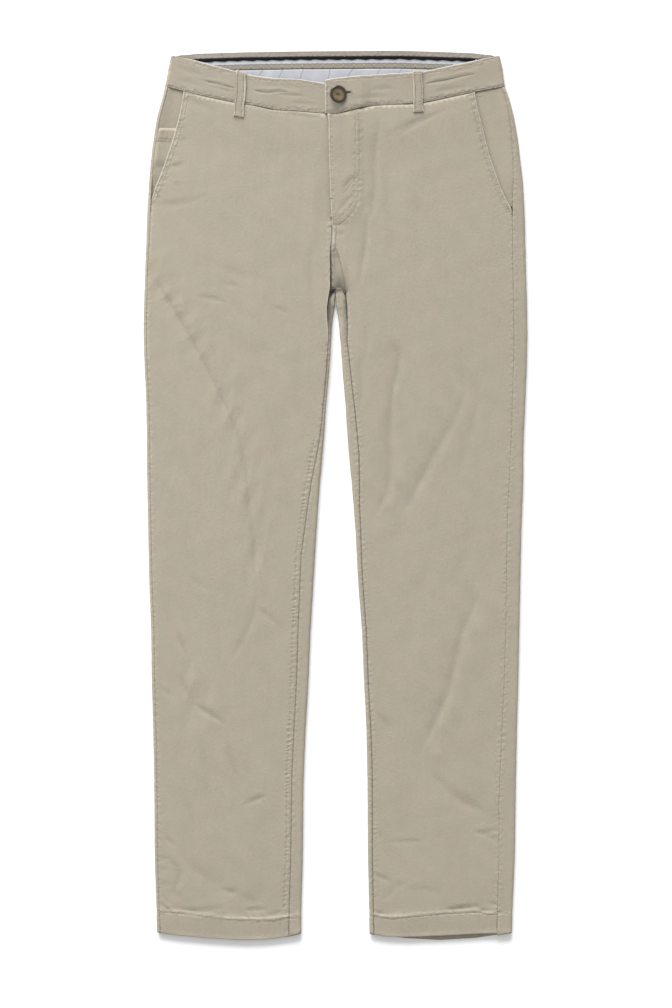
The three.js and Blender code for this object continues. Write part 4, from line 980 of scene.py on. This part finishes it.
# BELT LOOPS
# Narrow strips of folded twill with a row of stitches along each edge, turned over the
# waistband's rim and tacked below its seam.
LOOP_HALF = 6.0
LOOP_SEWN = 3.9
LOOP_LINES = {
    "belt_loop_front_right": [(-122.2, 552), (-126.2, 491)],
    "belt_loop_front_left": [(106.6, 552), (108.0, 497)],
    "belt_loop_back_centre": [(0, 576), (0, 528)],
    "belt_loop_back_right": [(-118, 575), (-118, 527)],
    "belt_loop_back_left": [(118, 576), (118, 527)],
}
for node, line in LOOP_LINES.items():
    skin = bmesh.new()
    skin.from_mesh(frame["nodes"][node].data)
    bmesh.ops.remove_doubles(skin, verts=skin.verts, dist=0.005 * MM)
    refine(skin, 2.0 * MM)
    skin.normal_update()
    points = positions(skin)
    low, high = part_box(node)
    signed, along = along_line(points, line)
    across = np.clip(np.abs(signed) / MM, 0, LOOP_HALF)
    from_end = np.minimum(np.abs(points[:, 1] - low.y), np.abs(points[:, 1] - high.y)) / MM
    if high.z > 2 * MM:
        puff = 0.35 * np.exp(-((across - 5.0) / 1.0) ** 2) - 0.25 * np.exp(-((across - LOOP_SEWN) / 0.8) ** 2)
        puff += 0.25 * np.sin(points[:, 1] / MM / 4.5) * np.exp(-(from_end / 14) ** 2)
        flare = 1 + 0.16 * np.exp(-((points[:, 1] - low.y) / (5 * MM)) ** 2)
        wobble = 0.35 * np.sin(points[:, 1] / MM / 6.3) + 0.2 * np.sin(points[:, 1] / MM / 2.9)
        middle = (low.x + high.x) / 2
        for vert, rise, wider, aside in zip(skin.verts, puff, flare, wobble):
            vert.co.z += rise * MM * max(0.0, vert.normal.z)
            vert.co.x = middle + (vert.co.x - middle) * wider + aside * MM
    rows = np.abs(across - LOOP_SEWN) * 1.5 * MM
    edge = (LOOP_HALF - across) * MM
    facts = {
        # painted shade in the stitch grooves
        "stitch": np.where(across < LOOP_SEWN, -rows, rows),
        "worn": edge,
        "seam": np.where(points[:, 1] - low.y < 8 * MM, points[:, 1] - low.y, FAR),
        "deep": np.ones(len(points)),
        # painted shade along the stitch rows
        "line": np.maximum(np.abs(across - LOOP_SEWN) * MM, 0.35 * MM),
    }
    mesh = bpy.data.meshes.new(f"{node}_cloth")
    skin.to_mesh(mesh)
    skin.free()
    for label, values in facts.items():
        field = mesh.attributes.new(label, "FLOAT", "POINT")
        field.data.foreach_set("value", values.astype(np.float32))
    mesh.materials.append(band_twill)
    mesh.shade_smooth()
    loop = bpy.data.objects.new(f"{node}_cloth", mesh)
    bpy.context.scene.collection.objects.link(loop)
    soft = loop.modifiers.new("soft edges", "BEVEL")
    soft.width = 0.3 * MM
    soft.segments = 2
    soft.limit_method = "ANGLE"
    soft.angle_limit = math.radians(55)
    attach(loop, "root")
    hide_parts(node)

# WAIST BUTTON
# A turned horn-like button with a raised dark rim, a paler dish and a darker heart. Its shank
# pulls one side into the buttonhole, so it sits a little tilted.
low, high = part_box("waist_button")
BUTTON_AT = Vector(((low.x + high.x) / 2, (low.y + high.y) / 2, (low.z + high.z) / 2 + 2.6 * MM))
BUTTON_TILT = math.radians(17)
PROFILE = [
    (0.0, -1.4), (8.8, -1.4), (10.6, -0.7), (11.5, 0.3), (11.2, 1.2), (10.2, 1.6), (8.8, 1.5),
    (7.6, 0.7), (6.4, 0.3), (3.6, 0.1), (0.0, 0.0),
]
turned = bmesh.new()
ring = [turned.verts.new((r * MM, 0, z * MM)) for r, z in PROFILE]
rim = [turned.edges.new(pair) for pair in zip(ring[:-1], ring[1:])]
bmesh.ops.spin(
    turned, geom=ring + rim, cent=(0, 0, 0), axis=(0, 0, 1), angle=2 * math.pi, steps=48, use_merge=True
)
bmesh.ops.remove_doubles(turned, verts=turned.verts, dist=0.01 * MM)
bmesh.ops.recalc_face_normals(turned, faces=turned.faces)
tilt = Matrix.Rotation(BUTTON_TILT, 3, "Y")
bmesh.ops.rotate(turned, verts=turned.verts, cent=(0, 0, 0), matrix=tilt)
bmesh.ops.translate(turned, verts=turned.verts, vec=BUTTON_AT)
button_mesh = bpy.data.meshes.new("button_disc")
turned.to_mesh(button_mesh)
turned.free()

horn = Finish("horn", 0.34)
spot = horn.node("ShaderNodeMapping", {}, {"Vector": horn.place, "Location": -BUTTON_AT})
flat_spot = horn.node(
    "ShaderNodeVectorMath", {"operation": "MULTIPLY"}, {0: spot, 1: Vector((1, 1, 0))}
)
radius = horn.node("ShaderNodeVectorMath", {"operation": "LENGTH"}, {0: flat_spot}, "Value")
cloud = horn.noise(5 * MM, 3.0, (1, 2.2, 1))
dish = (radius + cloud * 0.0008).within(6.0 * MM, 8.2 * MM)
heart = (radius + cloud * 0.0006).within(0.9 * MM, 2.8 * MM)
shade = horn.blend(dish, (0.034, 0.022, 0.009), (0.155, 0.110, 0.062))
shade = horn.blend(heart * 0.85, shade, (0.045, 0.018, 0.006))
shade = horn.tint(shade, 1.0 + cloud * 0.38)
horn.shader.inputs["Coat Weight"].default_value = 0.25
button_mesh.materials.append(horn.use(shade, cloud, 0.05 * MM))
button_mesh.shade_smooth()
button = bpy.data.objects.new("waist_button_disc", button_mesh)
bpy.context.scene.collection.objects.link(button)
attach(button, "root")
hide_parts("waist_button")

# TOPSTITCHING
# Thread a shade off the cloth: twin rows on the pocket edges and the fly, one along each edge
# of the waistband and the loops, the hems and the inseam, and close tacks at the pocket ends,
# the fly and the buttonhole. Each stitch is a bead of thread half sunk into the cloth.
STITCH = 2.7 * MM
PITCH = 3.4 * MM
TACK_PITCH = 0.9 * MM
THREAD = 0.27 * MM

bead = bmesh.new()
bmesh.ops.create_uvsphere(bead, u_segments=6, v_segments=4, radius=1.0)
bmesh.ops.rotate(bead, verts=bead.verts, cent=(0, 0, 0), matrix=Matrix.Rotation(math.pi / 2, 3, "Y"))
bmesh.ops.scale(bead, verts=bead.verts, vec=(STITCH / 2, THREAD, THREAD))
one_stitch = bpy.data.meshes.new("one stitch")
bead.to_mesh(one_stitch)
bead.free()

bpy.context.view_layer.update()
depsgraph = bpy.context.evaluated_depsgraph_get()
surfaces = bmesh.new()
for piece in list(bpy.context.scene.objects):
    if piece.type == "MESH" and piece.name.endswith("_cloth"):
        shown = piece.evaluated_get(depsgraph)
        surfaces.from_mesh(shown.to_mesh())
        shown.to_mesh_clear()
cloth_top = BVHTree.FromBMesh(surfaces)
surfaces.free()


def stitches_along(target, line, pitch=PITCH, turn_by=0.0):
    """Adds stitches to target along a line of (x, y) in mm, lying on the cloth's top."""
    carried = pitch / 2
    for (ax, ay), (bx, by) in zip(line[:-1], line[1:]):
        start, end = Vector((ax, ay, 0)) * MM, Vector((bx, by, 0)) * MM
        span = (end - start).length
        along = (end - start) / span
        lie = Matrix.Rotation(turn_by, 3, "Z") @ along
        while carried < span:
            place = start + along * carried
            spots = [place + lie * (step * 1.1 * MM) for step in (-1, 0, 1)]
            hits = [cloth_top.ray_cast(spot + Vector((0, 0, 0.05)), Vector((0, 0, -1)))[0] for spot in spots]
            if all(hits):
                turn = (hits[2] - hits[0]).to_track_quat("X", "Z").to_matrix().to_4x4()
                stitch = one_stitch.copy()
                stitch.transform(Matrix.Translation(hits[1] + Vector((0, 0, THREAD * 0.3))) @ turn)
                target.from_mesh(stitch)
                bpy.data.meshes.remove(stitch)
            carried += pitch
        carried -= span


thread_finish = Finish("thread", 0.7)
twist = thread_finish.noise(0.8 * MM, 1.0)
thread = thread_finish.use(thread_finish.tint((0.365, 0.326, 0.262), 1.0 + twist * 0.15))
BUTTONHOLE = [(12, 525.4), (19.6, 525.4), (21.2, 524.2), (21.4, 521.4), (19.8, 520.0), (12, 520.0)]
LOOP_ROWS = [
    offset_line(LOOP_LINES[name], side)
    for name in ("belt_loop_front_right", "belt_loop_front_left")
    for side in (-LOOP_SEWN, LOOP_SEWN)
]
STITCH_ROWS = {
    "right_front_stitches": RIGHT_SEWN,
    "left_front_stitches": LEFT_SEWN,
    "waistband_stitches": [row for band in BANDS for row in band.sewn],
    "coin_pocket_stitches": COIN_ROWS,
    "belt_loop_stitches": LOOP_ROWS,
}
TACKS = {
    "buttonhole_stitches": [BUTTONHOLE],
    "bartacks": [
        [(-234.5, 397), (-229, 388)],
        [(222, 377), (226.5, 371)],
        [(184, 519), (190, 519)],
        [(-215.5, 465), (-215.0, 458.5)],
        [(-9.5, 350.6), (-3.5, 350.6)],
        [(-8.5, 386), (-3.5, 386)],
        [(-131.5, 493.6), (-121.5, 493.2)],
        [(102.5, 500.6), (113.0, 500.2)],
    ],
}
for name, lines in (*STITCH_ROWS.items(), *TACKS.items()):
    close = name in TACKS
    sewn_rows = bmesh.new()
    for line in lines:
        stitches_along(sewn_rows, line, TACK_PITCH if close else PITCH, math.pi / 2 if close else 0.0)
    mesh = bpy.data.meshes.new(name)
    sewn_rows.to_mesh(mesh)
    sewn_rows.free()
    mesh.materials.append(thread)
    mesh.shade_smooth()
    row = bpy.data.objects.new(name, mesh)
    bpy.context.scene.collection.objects.link(row)
    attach(row, "root")
    "waistband_twill" if "waist" in name or "loop" in name else "twill"

# STUDIO
# A pale floor, a broad soft light from the upper left and an even fill, seen from straight above.
floor_grid = bmesh.new()
bmesh.ops.create_grid(floor_grid, x_segments=2, y_segments=2, size=6.0)
bmesh.ops.translate(floor_grid, verts=floor_grid.verts, vec=(0, 0, -0.4 * MM))
floor_mesh = bpy.data.meshes.new("floor")
floor_grid.to_mesh(floor_mesh)
floor_grid.free()
floor = bpy.data.objects.new("floor", floor_mesh)
bpy.context.scene.collection.objects.link(floor)
paper = Finish("pale paper", 0.95)
paper.shader.inputs["Specular IOR Level"].default_value = 0.0
floor_mesh.materials.append(paper.use(paper.tint((0.95, 0.95, 0.95), 1.0 + paper.noise(0.6, 1.0) * 0.002)))

sky = bpy.data.worlds.new("fill")
sky.use_nodes = True
sky.node_tree.nodes["Background"].inputs["Color"].default_value = (1.0, 1.0, 1.0, 1.0)
sky.node_tree.nodes["Background"].inputs["Strength"].default_value = 0.64
bpy.context.scene.world = sky

KEY_AZIMUTH = math.radians(98)    # where the light stands, from +X towards +Y
KEY_HEIGHT = math.radians(19)
key_data = bpy.data.lights.new("window", "SUN")
key_data.energy = 5.8
key_data.angle = math.radians(34)
key = bpy.data.objects.new("window", key_data)
towards = Vector((
    math.cos(KEY_AZIMUTH) * math.cos(KEY_HEIGHT),
    math.sin(KEY_AZIMUTH) * math.cos(KEY_HEIGHT),
    math.sin(KEY_HEIGHT),
))
key.rotation_euler = towards.to_track_quat("Z", "Y").to_euler()
bpy.context.scene.collection.objects.link(key)

lamp_data = bpy.data.lights.new("softbox", "AREA")
lamp_data.shape = "DISK"
lamp_data.size = 0.9
lamp_data.energy = 21
lamp = bpy.data.objects.new("softbox", lamp_data)
lamp.location = (-1.6, 1.2, 0.9)
lamp.rotation_euler = (lamp.location - Vector((-0.1, 0.2, 0))).to_track_quat("Z", "Y").to_euler()
bpy.context.scene.collection.objects.link(lamp)

SHOT_HEIGHT = 3.4
SHOT_SPAN = 1008 * 1.3 * MM
lens_data = bpy.data.cameras.new("camera")
lens_data.sensor_fit = "VERTICAL"
lens_data.sensor_height = 24
lens_data.lens = 24 * (SHOT_HEIGHT - 6 * MM) / SHOT_SPAN
camera = bpy.data.objects.new("camera", lens_data)
camera.location = (0.65 * MM, -11.7 * MM, SHOT_HEIGHT)
bpy.context.scene.collection.objects.link(camera)
bpy.context.scene.camera = camera
bpy.context.scene.view_settings.view_transform = "Standard"
